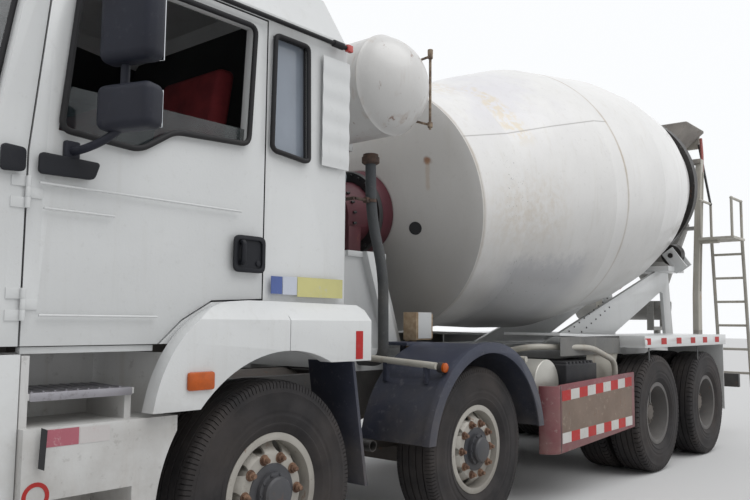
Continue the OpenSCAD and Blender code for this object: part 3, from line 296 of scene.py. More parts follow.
print("Mixing the finishes")
wear = {
    "white_paint": ("cabPaint", (0.655, 0.665, 0.665), 0.32, {
        "coat": 0.25, "fade": 0.03, "dust": (roadDust, 0.5, 0.6, 1.35), "streaks": ((0.42, 0.40, 0.36), 0.16),
        "scuffs": ((0.30, 0.28, 0.25), 0.10)}),
    "dark_blue_plastic": ("bluePlastic", (0.034, 0.039, 0.062), 0.48,
                          {"fade": 0.2, "dust": (darkDust, 0.55, 0.6, 1.2),
                           "scuffs": ((0.22, 0.22, 0.23), 0.3), "grain": (240, 0.3), "shine": 0.35}),
    "maroon_paint": ("maroonPaint", (0.175, 0.042, 0.052), 0.5, {
        "fade": 0.2, "dust": (roadDust, 0.4, 0.35, 1.1), "streaks": ((0.32, 0.20, 0.18), 0.35),
        "scuffs": ((0.35, 0.30, 0.28), 0.5), "rust": (rustBrown, 0.6, 16)}),
    "chassis_paint": ("chassisPaint", (0.035, 0.034, 0.034), 0.6, {
        "fade": 0.3, "dust": (darkDust, 0.7, 0.4, 1.4), "rust": (rustBrown, 0.7, 9), "grain": (60, 0.4)}),
    "grey_steel": ("greySteel", (0.34, 0.335, 0.32), 0.5,
                   {"metallic": 0.35, "fade": 0.12, "dust": (darkDust, 0.5, 0.5, 1.6),
                    "scuffs": ((0.12, 0.11, 0.10), 0.45), "rust": (rustBrown, 0.7, 12)}),
    "tank_paint": ("tankPaint", (0.50, 0.49, 0.45), 0.35, {
        "metallic": 0.5, "fade": 0.1, "dust": (roadDust, 0.5, 0.7, 1.2), "rust": (rustTan, 0.5, 14)}),
    "black_plastic": ("blackPlastic", (0.012, 0.013, 0.017), 0.5, {
        "fade": 0.25, "dust": (darkDust, 0.25, 0.6, 1.6), "grain": (260, 0.35), "shine": 0.25}),
    "rim_paint": ("rimPaint", (0.42, 0.40, 0.36), 0.5, {
        "metallic": 0.2, "fade": 0.12, "dust": (darkDust, 0.75, 0.2, 1.0), "rust": (rustBrown, 0.75, 15),
        "scuffs": ((0.18, 0.15, 0.12), 0.5)}),
    "cast_parts": ("castParts", (0.09, 0.078, 0.07), 0.65, {
        "fade": 0.25, "dust": (darkDust, 0.6, 0.3, 1.4), "rust": (rustBrown, 0.8, 10), "grain": (50, 0.6)}),
    "ring_steel": ("ringSteel", (0.045, 0.043, 0.042), 0.38, {
        "metallic": 0.8, "fade": 0.2, "scuffs": ((0.16, 0.15, 0.14), 0.5), "rust": (rustBrown, 0.4, 12)}),
    "rusty_steel": ("rustySteel", (0.27, 0.25, 0.23), 0.7, {
        "metallic": 0.2, "fade": 0.2, "streaks": ((0.40, 0.36, 0.30), 0.5), "rust": (rustBrown, 0.9, 5),
        "grain": (40, 0.6)}),
}
finishes = {slot: paintwork(name, colour, roughness, **worn)
            for slot, (name, colour, roughness, worn) in wear.items()}
drumAxis = {  # places from the first axle
    "start": (-1.5, 0, 2.15),
    "tilt": 9.8,
    "tones": (  # along the axis, turn from the left side downward, soft ends of both, strength, colour
        ((1.28, 1.50), (-60, -24), (0.04, 6), 0.5, (0.72, 0.58, 0.33)),
        ((0.80, 1.25), (-90, -60), (0.10, 6), 0.5, (0.68, 0.56, 0.40)),
        ((0.78, 1.62), (-2, 24), (0.30, 14), 0.55, (0.58, 0.47, 0.33)),
        ((1.05, 2.15), (30, 78), (0.16, 6), 0.72, (0.36, 0.375, 0.43)),
        ((1.05, 1.85), (30, 78), (0.12, 6), 1, (0.07, 0.07, 0.08)),
        ((0.95, 1.22), (-16, 14), (0.05, 6), 1, (0.16, 0.15, 0.15))),
    "seams": ((0.66, 0.016, 0.55), (2.66, 0.020, 0.8), (4.36, 0.006, 0.5)),  # place, half width, strength
    "weld": (-29, 0.65, 2.66),
    "lilac": (0.75, 2.10, 0.25),
    "headEnd": (0.60, 0.70),
    "headStar": (-1.973, 0.598, 2.569),
    "headHole": (-1.995, 0.473, 2.070),
}


def drumFinish(shape):
    finish = paintwork("drumPaint", (0.81, 0.80, 0.785), 0.36, coat=0.2, fade=0.04,
                       streaks=((0.60, 0.56, 0.49), 0.25), scuffs=((0.42, 0.40, 0.37), 0.16))
    tilt = math.radians(shape["tilt"])
    start, star = fromAxle((shape["start"], shape["headStar"]))
    along = finish.dot((-math.cos(tilt), 0, math.sin(tilt)), start)
    outward = finish.dot((0, 1, 0), start)
    downward = finish.dot((-math.sin(tilt), 0, -math.cos(tilt)), start)
    turn = finish.add("Math", {"operation": "ARCTAN2"}, {0: downward, 1: outward}) * (180 / math.pi)
    sag = finish.add("Math", {"operation": "SINE"}, {0: turn * (math.pi / 180)})
    wobble, fine = finish.noise(2.2, 6), finish.noise(18, 7)
    patchy = finish.spread(wobble, 0.35, 0.65)
    place = along + (wobble - 0.5) * 0.35
    angle = turn + (fine - 0.5) * 14
    coarseGrit, fineGrit = (finish.spread(finish.noise(size, 3), 0.66, 0.70) for size in (34, 60))
    speckles = (finish.spread(fine, 0.4, 0.6), finish.spread(fine, 0.38, 0.6),
                finish.spread(fine, 0.25, 0.8), 1, coarseGrit, fineGrit)
    low, high, soft = shape["lilac"]
    finish.paint(finish.band(along, low, high, soft) * finish.spread(-1 * sag, 0.21, 0.87) * patchy * 0.35,
                 (0.62, 0.60, 0.70))
    for (reach, turns, soft, strength, colour), speckle in zip(shape["tones"], speckles):
        patch = finish.band(place, *reach, soft[0]) * finish.band(angle, *turns, soft[1])
        finish.paint(patch * speckle * strength, colour)
    weldTurn, low, high = shape["weld"]
    thin = 1 - finish.spread((turn - weldTurn).size(), 0.15, 0.40)
    finish.paint(thin * finish.band(along, low, high, 0.02) * 0.6, (0.22, 0.20, 0.19))
    for seam, half, strength in shape["seams"]:
        edge = 1 - finish.spread((along - seam + (fine - 0.5) * 0.02).size(), half * 0.4, half * 1.6)
        finish.paint(edge * (0.35 + patchy * 0.65) * strength, (0.44, 0.33, 0.22))
        core = 1 - finish.spread((along - seam).size(), 0.002, 0.006)
        finish.paint(core * strength * 0.7, (0.20, 0.17, 0.15))
    # painted shade: the drum's lower side turns grey toward its bottom, following the turn round the axis
    finish.paint(finish.spread(sag, -0.37, 0.98) * (0.5 + wobble * 0.4), (0.34, 0.335, 0.325))
    # the drum's front head darker grey: partly dirt, partly painted shade
    front = 1 - finish.spread(along, *shape["headEnd"])
    finish.paint(front * 0.55, (0.34, 0.325, 0.30))
    sideways, below = finish.dot((0, 1, 0), star), finish.dot((0, 0, -1), star)
    spot = 1 - finish.spread((sideways ** 2 + below ** 2) ** 0.5 + (fine - 0.5) * 0.05, 0.008, 0.040)
    thin = 1 - finish.spread(sideways.size() + (fine - 0.5) * 0.03, 0.004, 0.022)
    streak = thin * finish.band(below, 0.0, 0.22, 0.02)
    finish.paint(front * spot * 0.9, (0.24, 0.10, 0.04))
    finish.paint(front * streak * 0.35, (0.40, 0.26, 0.15))
    return finish


def glassFinish():
    finish = Finish("windowGlass", 0.06)
    film = finish.spread(finish.noise(3, 6), 0.4, 0.8)
    # painted reflection: the quarter window's glass gets a paler, more opaque painted glare
    quarter = finish.band(finish.along(0), ahead(-0.21), ahead(0.09), 0.005)
    glare = quarter * (finish.spread(finish.noise(3, 2, (1, 1, 0.4)), 0.3, 0.6) * 0.3 + 0.7)
    tint = finish.mix(film, (0.03, 0.04, 0.045), (0.10, 0.11, 0.11))
    finish.set("Base Color", finish.mix(glare, tint, (0.30, 0.34, 0.40)))
    finish.set("Roughness", 0.05 + film * 0.12)
    finish.set("Alpha", 0.42 + film * 0.12 + glare * 0.4)
    finish.set("Coat Weight", 0.5)
    return finish


def seatFinish():
    finish = Finish("seatCloth", 0.9)
    finish.set("Base Color", finish.mix(finish.spread(finish.noise(8, 5), 0.3, 0.7), (0.14, 0.012, 0.016),
                                        (0.22, 0.022, 0.026)))
    finish.bump(finish.noise(500, 2), 0.5, 0.001)
    return finish


def lensFinish(name, colour, coat=1):
    finish = Finish(name, 0.2, coat=coat)
    finish.set("Specular IOR Level", 0.3)
    finish.set("Base Color", finish.mix(finish.spread(finish.noise(30, 3), 0.3, 0.7),
                                        tuple(c * 0.8 for c in colour), colour))
    finish.bump(finish.noise(300, 2), 0.3, 0.002)
    return finish


finishes["drum_paint"] = drumFinish(drumAxis)
finishes["window_glass"] = glassFinish()
finishes["seat_cloth"] = seatFinish()
finishes["lamp_lens"] = lensFinish("lampLens", (0.55, 0.05, 0.04))
amberLens = lensFinish("amberLens", (0.50, 0.090, 0.002), 0.3)
clearLens = lensFinish("clearLens", (0.55, 0.56, 0.57))
waterTankPaint = paintwork("waterTankPaint", (0.66, 0.65, 0.635), 0.34, coat=0.2, fade=0.05,
                           streaks=((0.36, 0.22, 0.12), 0.4), rust=(rustBrown, 0.8, 11))

for part in frame["record"]["subparts"]:
    node = frame["nodes"][part["node"]]
    slot = part["material_slot"]
    if slot in finishes:
        finish = waterTankPaint if part["node"] == "water_tank" else finishes[slot]
        for place in node.material_slots:
            place.material = finish.material


# Shaping helpers

planeTurns = {
    "side": Matrix(((1, 0, 0), (0, 0, -1), (0, 1, 0))),  # outline in x and z, thickness along y
    "front": Matrix(((0, 0, 1), (1, 0, 0), (0, 1, 0))),  # outline in y and z, thickness along x
    "top": Matrix(((1, 0, 0), (0, 1, 0), (0, 0, 1))),  # outline in x and y, thickness along z
}


def deselect():
    if bpy.context.object and bpy.context.object.mode != "OBJECT":
        bpy.ops.object.mode_set(mode="OBJECT")
    bpy.ops.object.select_all(action="DESELECT")


def only(piece):
    deselect()
    piece.select_set(True)
    bpy.context.view_layer.objects.active = piece
    return piece


def freeze(piece):
    only(piece)
    bpy.ops.object.transform_apply(location=True, rotation=True, scale=True)
    return piece


def modify(piece, kind, **settings):
    only(piece)
    modifier = piece.modifiers.new(kind, kind)
    for key, value in settings.items():
        setattr(modifier, key, value)
    bpy.ops.object.modifier_apply(modifier=modifier.name)
    return piece


def pick(piece, kind, test):
    # in edit mode, selects the faces or edges whose middle, and normal or ends, pass the test
    only(piece)
    bpy.ops.object.mode_set(mode="EDIT")
    bpy.ops.mesh.select_mode(type=kind)
    bpy.ops.mesh.select_all(action="DESELECT")
    shape = bmesh.from_edit_mesh(piece.data)
    if kind == "FACE":
        for face in shape.faces:
            face.select_set(bool(test(face.calc_center_median(), face.normal)))
    else:
        for edge in shape.edges:
            first, second = (corner.co for corner in edge.verts)
            edge.select_set(bool(test(first, second)))
    bmesh.update_edit_mesh(piece.data)


def editAll(piece, step, **settings):
    only(piece)
    bpy.ops.object.mode_set(mode="EDIT")
    bpy.ops.mesh.select_all(action="SELECT")
    step(**settings)
    bpy.ops.object.mode_set(mode="OBJECT")
    return piece


def closeUp(piece, distance=0.0002):
    editAll(piece, bpy.ops.mesh.remove_doubles, threshold=distance)
    return editAll(piece, bpy.ops.mesh.normals_make_consistent, inside=False)


def asMesh(curve):
    only(curve)
    bpy.ops.object.convert(target="MESH")
    return bpy.context.object


def bevelled(piece, width, segments=2, angle=30):
    return modify(piece, "BEVEL", width=width, segments=segments, limit_method="ANGLE",
                  angle_limit=math.radians(angle), harden_normals=False)


def box(low, high, edge=0.0, segments=2):
    deselect()
    low, high = Vector(low), Vector(high)
    bpy.ops.mesh.primitive_cube_add(size=1, location=(low + high) / 2, scale=high - low)
    piece = freeze(bpy.context.object)
    return bevelled(piece, edge, segments) if edge else piece


def rod(start, end, radius, steps=20, edge=0.0):
    deselect()
    start, end = Vector(start), Vector(end)
    bpy.ops.mesh.primitive_cone_add(vertices=steps, radius1=radius, radius2=radius,
                                    depth=(end - start).length, location=(start + end) / 2,
                                    rotation=(end - start).to_track_quat("Z", "Y").to_euler())
    piece = freeze(bpy.context.object)
    return bevelled(piece, edge, 2, 50) if edge else piece


def arc(centre, radius, start, end, steps=12):
    turns = [math.radians(start + (end - start) * i / steps) for i in range(steps + 1)]
    return [(centre[0] + radius * math.cos(turn), centre[1] + radius * math.sin(turn)) for turn in turns]


def rounded(corners, reach, steps=5, closed=True):
    # swaps each corner of a path for a curve that starts a reach before it
    path = [Vector(corner) for corner in corners]
    points = []
    for i, corner in enumerate(path):
        if not closed and i in (0, len(path) - 1):
            points.append(corner)
            continue
        before, after = path[i - 1], path[(i + 1) % len(path)]
        cut = min(reach, (before - corner).length * 0.48, (after - corner).length * 0.48)
        start = corner + (before - corner).normalized() * cut
        end = corner + (after - corner).normalized() * cut
        for k in range(steps + 1):
            t = k / steps
            points.append(start * (1 - t) ** 2 + corner * 2 * t * (1 - t) + end * t ** 2)
    return points


def drawCurve(paths, closed, flat):
    deselect()
    bpy.ops.curve.primitive_bezier_curve_add(location=(0, 0, 0))
    piece = bpy.context.object
    curve = piece.data
    curve.splines.clear()
    curve.dimensions = "2D" if flat else "3D"
    for path in paths:
        spline = curve.splines.new("POLY")
        spline.points.add(len(path) - 1)
        for point, place in zip(spline.points, path):
            point.co = (*place, 0, 1) if flat else (*place, 1)
        spline.use_cyclic_u = closed
    return piece


def plate(outline, plane, low, high, edge=0.0, holes=()):
    # a flat outline with its holes, filled and given a thickness from low to high across its plane
    piece = drawCurve([outline, *holes], True, True)
    piece.data.fill_mode = "BOTH"
    piece.data.extrude = (high - low) / 2
    piece = closeUp(asMesh(piece))
    turn = planeTurns[plane]
    across = Vector(turn.col[2])
    side = 1 if sum(across) > 0 else -1
    piece.matrix_world = Matrix.Translation(across * side * (low + high) / 2) @ turn.to_4x4()
    freeze(piece)
    return bevelled(piece, edge, 2, 50) if edge else piece


def tube(points, radius, bend=0.05, closed=False, steps=3, curl=5):
    path = rounded([Vector(point) for point in points], bend, curl, closed) if bend else points
    piece = drawCurve([path], closed, False)
    piece.data.bevel_depth = radius
    piece.data.bevel_resolution = steps
    piece.data.use_fill_caps = not closed
    return closeUp(asMesh(piece))


def lathe(profile, centre, direction, steps=96):
    # spins a profile of (distance along the axis, radius) round an axis
    piece = asMesh(drawCurve([[(radius, 0, along) for along, radius in profile]], False, False))
    editAll(piece, bpy.ops.mesh.spin, steps=steps, angle=math.tau, center=(0, 0, 0), axis=(0, 0, 1))
    closeUp(piece)
    turn = Vector(direction).to_track_quat("Z", "Y").to_matrix().to_4x4()
    piece.matrix_world = Matrix.Translation(centre) @ turn
    return freeze(piece)


def copyOf(piece):
    twin = piece.copy()
    twin.data = piece.data.copy()
    bpy.context.collection.objects.link(twin)
    return twin


def joined(pieces):
    pieces = list(pieces)
    deselect()
    for piece in pieces:
        piece.select_set(True)
    bpy.context.view_layer.objects.active = pieces[0]
    if len(pieces) > 1:
        bpy.ops.object.join()
    return bpy.context.object


def mirrored(piece):
    twin = copyOf(piece)
    twin.scale = (1, -1, 1)
    return editAll(freeze(twin), bpy.ops.mesh.flip_normals)


def withTwin(piece):
    return joined([piece, mirrored(piece)])


def around(model, count, centre, axis):
    copies = [copyOf(model) for _ in range(count - 1)]
    for i, piece in enumerate([model, *copies]):
        turn = Matrix.Rotation(math.tau * i / count, 4, Vector(axis))
        piece.matrix_world = Matrix.Translation(centre) @ turn @ Matrix.Translation(-Vector(centre))
        freeze(piece)
    return joined([model, *copies])


def moved(piece, step):
    piece.location = step
    return freeze(piece)


def nodeCopy(node):
    piece = copyOf(frame["nodes"][node])
    piece.parent = None
    piece.matrix_world = Matrix()
    return closeUp(piece, 0.00005)


def dressed(node, edge, angle=30, segments=2):
    # a CAD node's own shape, with its edges rounded
    piece = editAll(nodeCopy(node), bpy.ops.mesh.dissolve_limited, angle_limit=math.radians(1))
    return bevelled(piece, edge, segments, angle) if edge else piece


def cutAway(piece, cutters):
    for cutter in cutters:
        modify(piece, "BOOLEAN", object=cutter, operation="DIFFERENCE", solver="EXACT")
        bpy.data.objects.remove(cutter)
    return piece


def settle(piece, name, body, slot, finish=None, instead=(), smooth=40):
    freeze(piece)
    piece.name = name
    piece.data.name = name
    piece.data.materials.clear()
    piece.data.materials.append((finish or finishes[slot]).material)
    bpy.ops.object.shade_smooth_by_angle(angle=math.radians(smooth))
    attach(piece, body)
    if instead:
        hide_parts(*instead)
    return piece


# Tyres

tyreShape = {
    "radius": wheelRadius,
    "bore": 0.2865,
    "halfTread": 0.124,
    "grooves": (0.078, 0.027),
    "grooveHalf": 0.005,
    "grooveDepth": 0.013,
    "sidewall": ((0.133, 0.014), (0.1385, 0.040), (0.1405, 0.056), (0.1435, 0.059), (0.1435, 0.064),
                 (0.142, 0.067), (0.1475, 0.105), (0.1492, 0.140), (0.1492, 0.150), (0.1475, 0.153),
                 (0.1475, 0.166), (0.1488, 0.169), (0.1488, 0.176), (0.144, 0.190), (0.1425, 0.205),
                 (0.1455, 0.208), (0.1455, 0.214), (0.141, 0.220), (0.132, 0.238), (0.120, 0.250)),
    "steps": 144,
    "steerSipe": (1, 0.0022, 0.006),
    "driveSipe": (2, 0.0050, 0.009),
    "sipeInner": 0.086,
}


def makeTyre(shape, sipe):
    radius = shape["radius"]
    half = []
    for middle in sorted(shape["grooves"]):
        low, high = middle - shape["grooveHalf"], middle + shape["grooveHalf"]
        half += [(low, radius), (low + 0.0015, radius - shape["grooveDepth"]),
                 (high - 0.0015, radius - shape["grooveDepth"]), (high, radius)]
    half += [(shape["halfTread"] * 0.8, radius - 0.001), (shape["halfTread"], radius - 0.006)]
    half += [(along, radius - drop) for along, drop in shape["sidewall"]]
    half.append((0.118, shape["bore"]))
    profile = [(-along, r) for along, r in reversed(half)] + half
    piece = lathe(profile + profile[:1], (0, 0, 0), (0, 1, 0), shape["steps"])
    every, width, depth = sipe
    step = math.tau / shape["steps"]

    def acrossShoulder(first, second):
        turns = [math.atan2(end.z, end.x) / step for end in (first, second)]
        if abs(turns[0] - turns[1]) > 0.1 or round(turns[0]) % every:
            return False
        reaches = [math.hypot(end.x, end.z) for end in (first, second)]
        sides = [abs(end.y) for end in (first, second)]
        return min(reaches) > radius - 0.045 and min(sides) > shape["sipeInner"]

    pick(piece, "EDGE", acrossShoulder)
    bpy.ops.mesh.bevel(offset=width, segments=1, affect="EDGES")
    bpy.ops.mesh.extrude_region_shrink_fatten(TRANSFORM_OT_shrink_fatten={"value": -depth})
    bpy.ops.object.mode_set(mode="OBJECT")
    return piece


def rubberFinish():
    finish = Finish("tyreRubber", 0.85)
    finish.set("Specular IOR Level", 0.25)
    cloud = finish.noise(5, 6)
    shade = finish.mix(finish.spread(cloud, 0.3, 0.7), (0.018, 0.017, 0.018), (0.036, 0.033, 0.034))
    film = finish.spread(finish.noise(2.2, 8), 0.35, 0.75) * 0.5
    shade = finish.mix(film, shade, (0.085, 0.071, 0.063))
    finish.set("Base Color", shade)
    finish.set("Roughness", 0.7 + film * 0.25)
    finish.bump(finish.noise(120, 5), 0.25, 0.003)
    return finish


print("Turning the tyres")
finishes["tyre_rubber"] = rubberFinish()
steerTyre = makeTyre(tyreShape, tyreShape["steerSipe"])
driveTyre = makeTyre(tyreShape, tyreShape["driveSipe"])
twinStep = 0.170  # from the middle of a twin to the middle of one tyre
for (axle, side), centre in wheelCentres.items():
    if axle < 3:
        tyre = moved(copyOf(steerTyre), centre)
        settle(tyre, f"tyre{axle}{side.title()}", f"wheel_{axle}_{side}", "tyre_rubber",
               instead=[f"tyre_{axle}_{side}"])
    else:
        pair = [moved(copyOf(driveTyre), centre + Vector((0, step, 0))) for step in (-twinStep, twinStep)]
        settle(joined(pair), f"tyres{axle}{side.title()}", f"wheel_{axle}_{side}", "tyre_rubber",
               instead=[f"tyres_{axle}_{side}"])
bpy.data.objects.remove(steerTyre)
bpy.data.objects.remove(driveTyre)

# Rims, nuts and hubs

wheelDetail = {
    "rimEdge": 0.003,
    "nuts": 10,
    "boltCircle": 0.1675,
    "nutRadius": 0.0215,
    "nutHeight": 0.020,
    "studRadius": 0.0115,
    "studReach": 0.038,
    "washer": (0.027, 0.004),
    "steerFace": 0.112,  # from the tyre's middle to the disc
    "cap": ((0.0, 0.139), (0.004, 0.139), (0.006, 0.101), (0.028, 0.099), (0.030, 0.083), (0.052, 0.081),
            (0.062, 0.072), (0.067, 0.050), (0.068, 0.0)),
    "capBolts": (10, 0.090, 0.0075, 0.008),
    "capFlange": 0.027,
    "driveFace": 0.0,
    "driveHub": ((0.188, 0.113), (0.204, 0.112), (0.206, 0.072), (0.222, 0.070), (0.226, 0.055),
                 (0.227, 0.0)),
    "flangeBolts": (14, 0.094, 0.011, 0.012),
}


def nutRing(detail, face):
    # nuts with washers and studs on a disc that looks along +y
    radius = detail["boltCircle"]
    washerRadius, washerHeight = detail["washer"]
    parts = [rod((radius, face + low, 0), (radius, face + high, 0), reach, steps, edge)
             for low, high, reach, steps, edge in (
                 (0, washerHeight, washerRadius, 16, 0),
                 (washerHeight * 0.5, detail["nutHeight"], detail["nutRadius"], 6, 0.002),
                 (0, detail["studReach"], detail["studRadius"], 12, 0.002))]
    return around(joined(parts), detail["nuts"], (0, 0, 0), (0, 1, 0))


def boltRing(count, radius, reach, height, face):
    bolt = rod((radius, face, 0), (radius, face + height, 0), reach, 6, 0.0015)
    return around(bolt, count, (0, 0, 0), (0, 1, 0))


def rustFinish(name, dark, bright):
    finish = Finish(name, 0.85)
    finish.set("Base Color", finish.mix(finish.spread(finish.noise(26, 6), 0.35, 0.68), dark, bright))
    finish.bump(finish.noise(160, 4), 0.5, 0.002)
    return finish


nutRust = rustFinish("nutRust", (0.10, 0.052, 0.034), (0.26, 0.155, 0.10))
hubPaint = paintwork("hubPaint", (0.040, 0.043, 0.052), 0.5, fade=0.3, dust=(darkDust, 0.4, 0.1, 1.2),
                     rust=(rustBrown, 0.3, 14))
deepRim = paintwork("deepRimPaint", (0.115, 0.110, 0.108), 0.62, metallic=0.2, fade=0.2,
                    dust=((0.20, 0.185, 0.17), 0.6, 0.1, 1.3), rust=(rustBrown, 0.35, 12))


def setWheel(axle, side, parts):
    # parts are (name, model, slot, finish, replaced nodes); models stand at the origin and look along +y
    centre = wheelCentres[(axle, side)]
    for name, model, slot, finish, instead in parts:
        piece = copyOf(model) if side == "left" else mirrored(model)
        settle(moved(piece, centre), f"{name}{axle}{side.title()}", f"wheel_{axle}_{side}", slot, finish,
               instead, 35)


print("Fitting rims, nuts and hubs")
steerCentre, driveCentre = wheelCentres[(1, "left")], wheelCentres[(3, "left")]
steerRim = moved(dressed("rim_1_left", wheelDetail["rimEdge"]), -steerCentre)
driveRim = moved(dressed("rims_3_left", wheelDetail["rimEdge"]), -driveCentre)
steerFace = wheelDetail["steerFace"]
steerNuts = nutRing(wheelDetail, steerFace)
driveNuts = nutRing(wheelDetail, wheelDetail["driveFace"])
capProfile = [(steerFace + along, radius) for along, radius in ((0, 0), *wheelDetail["cap"])]
steerCap = joined([lathe(capProfile, (0, 0, 0), (0, 1, 0), 48),
                   boltRing(*wheelDetail["capBolts"], steerFace + wheelDetail["capFlange"])])
hub = wheelDetail["driveHub"]
driveCap = joined([lathe([(hub[0][0], 0), *hub], (0, 0, 0), (0, 1, 0), 48),
                   boltRing(*wheelDetail["flangeBolts"], hub[1][0])])
for axle, side in wheelCentres:
    if axle < 3:
        setWheel(axle, side, [("rim", steerRim, "rim_paint", None, [f"rim_{axle}_{side}"]),
                              ("nuts", steerNuts, "rusty_steel", nutRust, ()),
                              ("hubCap", steerCap, "black_plastic", hubPaint, ())])
    else:
        setWheel(axle, side, [("rims", driveRim, "rim_paint", deepRim, [f"rims_{axle}_{side}"]),
                              ("nuts", driveNuts, "rusty_steel", nutRust, ()),
                              ("hubEnd", driveCap, "cast_parts", None, ())])
for model in (steerRim, driveRim, steerNuts, driveNuts, steerCap, driveCap):
    bpy.data.objects.remove(model)

# Cab

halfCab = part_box("door_left")[1].y
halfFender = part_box("cab_fenders")[1].y
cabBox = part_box("cab_shell")
doorJoints = {"left": "door_l", "right": "door_r"}
sides = (("left", 1), ("right", -1))

# dark lining for the cab's inside; also used as painted shade for the drum's head hole and the steps' slot
darkLiningAndShade = paintwork("cabLining", (0.022, 0.022, 0.024), 0.8, fade=0.2)
rubberSeal = paintwork("rubberSeal", (0.016, 0.016, 0.018), 0.6, fade=0.3, dust=(darkDust, 0.2, 1.0, 3.0),
                       shine=0.25)
redTape = paintwork("redTape", (0.42, 0.013, 0.013), 0.5, fade=0.15, dust=(roadDust, 0.12, 0.3, 1.6),
                    scuffs=((0.30, 0.2, 0.19), 0.25), shine=0.3)
whiteTape = paintwork("whiteTape", (0.58, 0.57, 0.55), 0.4, fade=0.08, dust=(roadDust, 0.4, 0.3, 1.6),
                      scuffs=((0.30, 0.27, 0.25), 0.4))
mirrorGlass = Finish("mirrorGlass", 0.04, metallic=1.0)
mirrorGlass.set("Base Color", mirrorGlass.mix(mirrorGlass.spread(mirrorGlass.noise(6), 0.3, 0.8),
                                              (0.72, 0.74, 0.76), (0.62, 0.64, 0.66)))


def strip(name, body, slot, finish, low, high, edge=0.0):
    # a block on both sides, measured from the first axle
    return settle(withTwin(box(*fromAxle((low, high)), edge)), name, body, slot, finish)


def sideOutline(points):
    return [(ahead(x), z) for x, z in points]


def onSide(piece, sign):
    # the piece itself, or its mirror image on the right side
    if sign > 0:
        return piece
    twin = mirrored(piece)
    bpy.data.objects.remove(piece)
    return twin


def innerLining(node, name, body, test, thickness=0.003):
    # a thin dark skin on a node's inner faces
    piece = nodeCopy(node)
    pick(piece, "FACE", lambda centre, normal: not test(centre, normal))
    bpy.ops.mesh.delete(type="FACE")
    bpy.ops.object.mode_set(mode="OBJECT")
    modify(piece, "SOLIDIFY", thickness=thickness, offset=1)
    return settle(piece, name, body, "black_plastic", darkLiningAndShade)


def insideCab(centre, normal):
    middle = Vector((ahead(0.45), 0, 2.15))
    if abs(centre.y) > halfCab - 0.03 or not cabBox[0].x + 0.03 < centre.x < cabBox[1].x - 0.02:
        return False
    return (middle - centre).dot(normal) > 0.1 and 1.46 < centre.z < 3.2


print("Lining and dressing the cab")
innerLining("cab_shell", "cabLining", "cab", insideCab)
for side, sign in sides:
    innerLining(f"door_{side}", f"doorCard{side.title()}", doorJoints[side],
                lambda centre, normal: normal.y * sign < -0.9 and abs(centre.y) < halfCab - 0.03)
    settle(dressed(f"door_{side}", 0.006), f"doorPanel{side.title()}", doorJoints[side], "white_paint",
           instead=[f"door_{side}"])
settle(dressed("cab_shell", 0.010, 24, 3), "cabShell", "cab", "white_paint", instead=["cab_shell"])
seatLift = {"floor": 1.45, "stretch": 1.13, "forward": 0.13}
cushions = dressed("seats", 0.035, 30, 3)
cushions.scale = (1, 1, seatLift["stretch"])
cushions = moved(cushions, (seatLift["forward"], 0, seatLift["floor"] * (1 - seatLift["stretch"])))
settle(cushions, "seatCushions", "cab", "seat_cloth", instead=["seats"])
settle(dressed("dashboard", 0.015), "dashboardPanel", "cab", "black_plastic", instead=["dashboard"])
wellPaint = paintwork("stepWellPaint", (0.60, 0.60, 0.59), 0.36, coat=0.15, fade=0.05,
                      dust=((0.27, 0.24, 0.21), 0.75, 0.5, 1.5), streaks=((0.40, 0.33, 0.26), 0.3),
                      scuffs=((0.20, 0.18, 0.16), 0.3))
settle(dressed("step_wells", 0.014, 30, 3), "stepWells", "chassis", "white_paint", wellPaint, ["step_wells"])
settle(dressed("bumper", 0.016), "bumperShell", "chassis", "white_paint", instead=["bumper"])

fenderShape = {
    "front": ((0.180, 1.465), (0.400, 1.450), (0.560, 1.360), (0.670, 1.240), (0.735, 1.100), (0.760, 0.985)),
    "rest": ((0.500, 0.985), (0.200, 1.160), (-0.600, 1.160), (-0.600, 1.430), (-0.560, 1.457)),
    "archRadius": 0.685,
    "slopeLow": 1.372,
    "slopeIn": 1.163,
    "seam": (-0.0025, 0.0025),
    "seamDepth": 0.020,
    "edge": 0.008,
}


def makeFenders(shape):
    curve = [tuple(point) for point in rounded(shape["front"], 0.2, 6, False)]
    piece = withTwin(plate(sideOutline(curve + list(shape["rest"])), "side", halfCab, halfFender))
    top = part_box("cab_fenders")[1].z
    rise = (top - shape["slopeLow"]) / (halfFender - shape["slopeIn"])
    slope = [(halfFender + 0.02, shape["slopeLow"] - 0.02 * rise), (halfFender + 0.02, top + 0.03),
             (shape["slopeIn"] - 0.02, top + 0.03), (shape["slopeIn"], top)]
    arch = rod((ahead(0), -halfFender - 0.1, wheelRadius), (ahead(0), halfFender + 0.1, wheelRadius),
               shape["archRadius"], 96)
    wedge = withTwin(plate(slope, "front", ahead(-0.7), ahead(0.9)))
    seam = withTwin(box((ahead(shape["seam"][0]), halfFender - shape["seamDepth"], 1.1),
                        (ahead(shape["seam"][1]), halfFender + 0.05, 1.6)))
    return bevelled(cutAway(piece, [arch, wedge, seam]), shape["edge"], 3, 25)


settle(makeFenders(fenderShape), "fenderPanels", "cab", "white_paint", instead=["cab_fenders"])

# Walls that close the step wells beside the fenders, and the sills over them

wellWall = {
    "path": ((0.870, 0.800), (0.790, 0.832), (0.705, 0.950), (0.655, 1.060), (0.640, 1.136)),
    "thickness": 0.006,
    "low": 0.9655,
    "high": 1.228,
}
inner = [tuple(point) for point in rounded(wellWall["path"], 0.06, 4, False)]
outer = [(x - wellWall["thickness"], y) for x, y in reversed(inner)]
wall = plate([(ahead(x), y) for x, y in inner + outer], "top", wellWall["low"], wellWall["high"])
back = box(*fromAxle(((0.780, 0.8305, wellWall["low"]), (1.205, 0.8345, wellWall["high"]))))
settle(withTwin(joined([wall, back])), "wellWalls", "chassis", "white_paint", wellPaint)
strip("sillTrim", "cab", "white_paint", None, (0.690, 1.088, 1.2355), (1.262, 1.124, 1.2615), 0.003)

# Seals round the windows, and the pressed lines of the doors

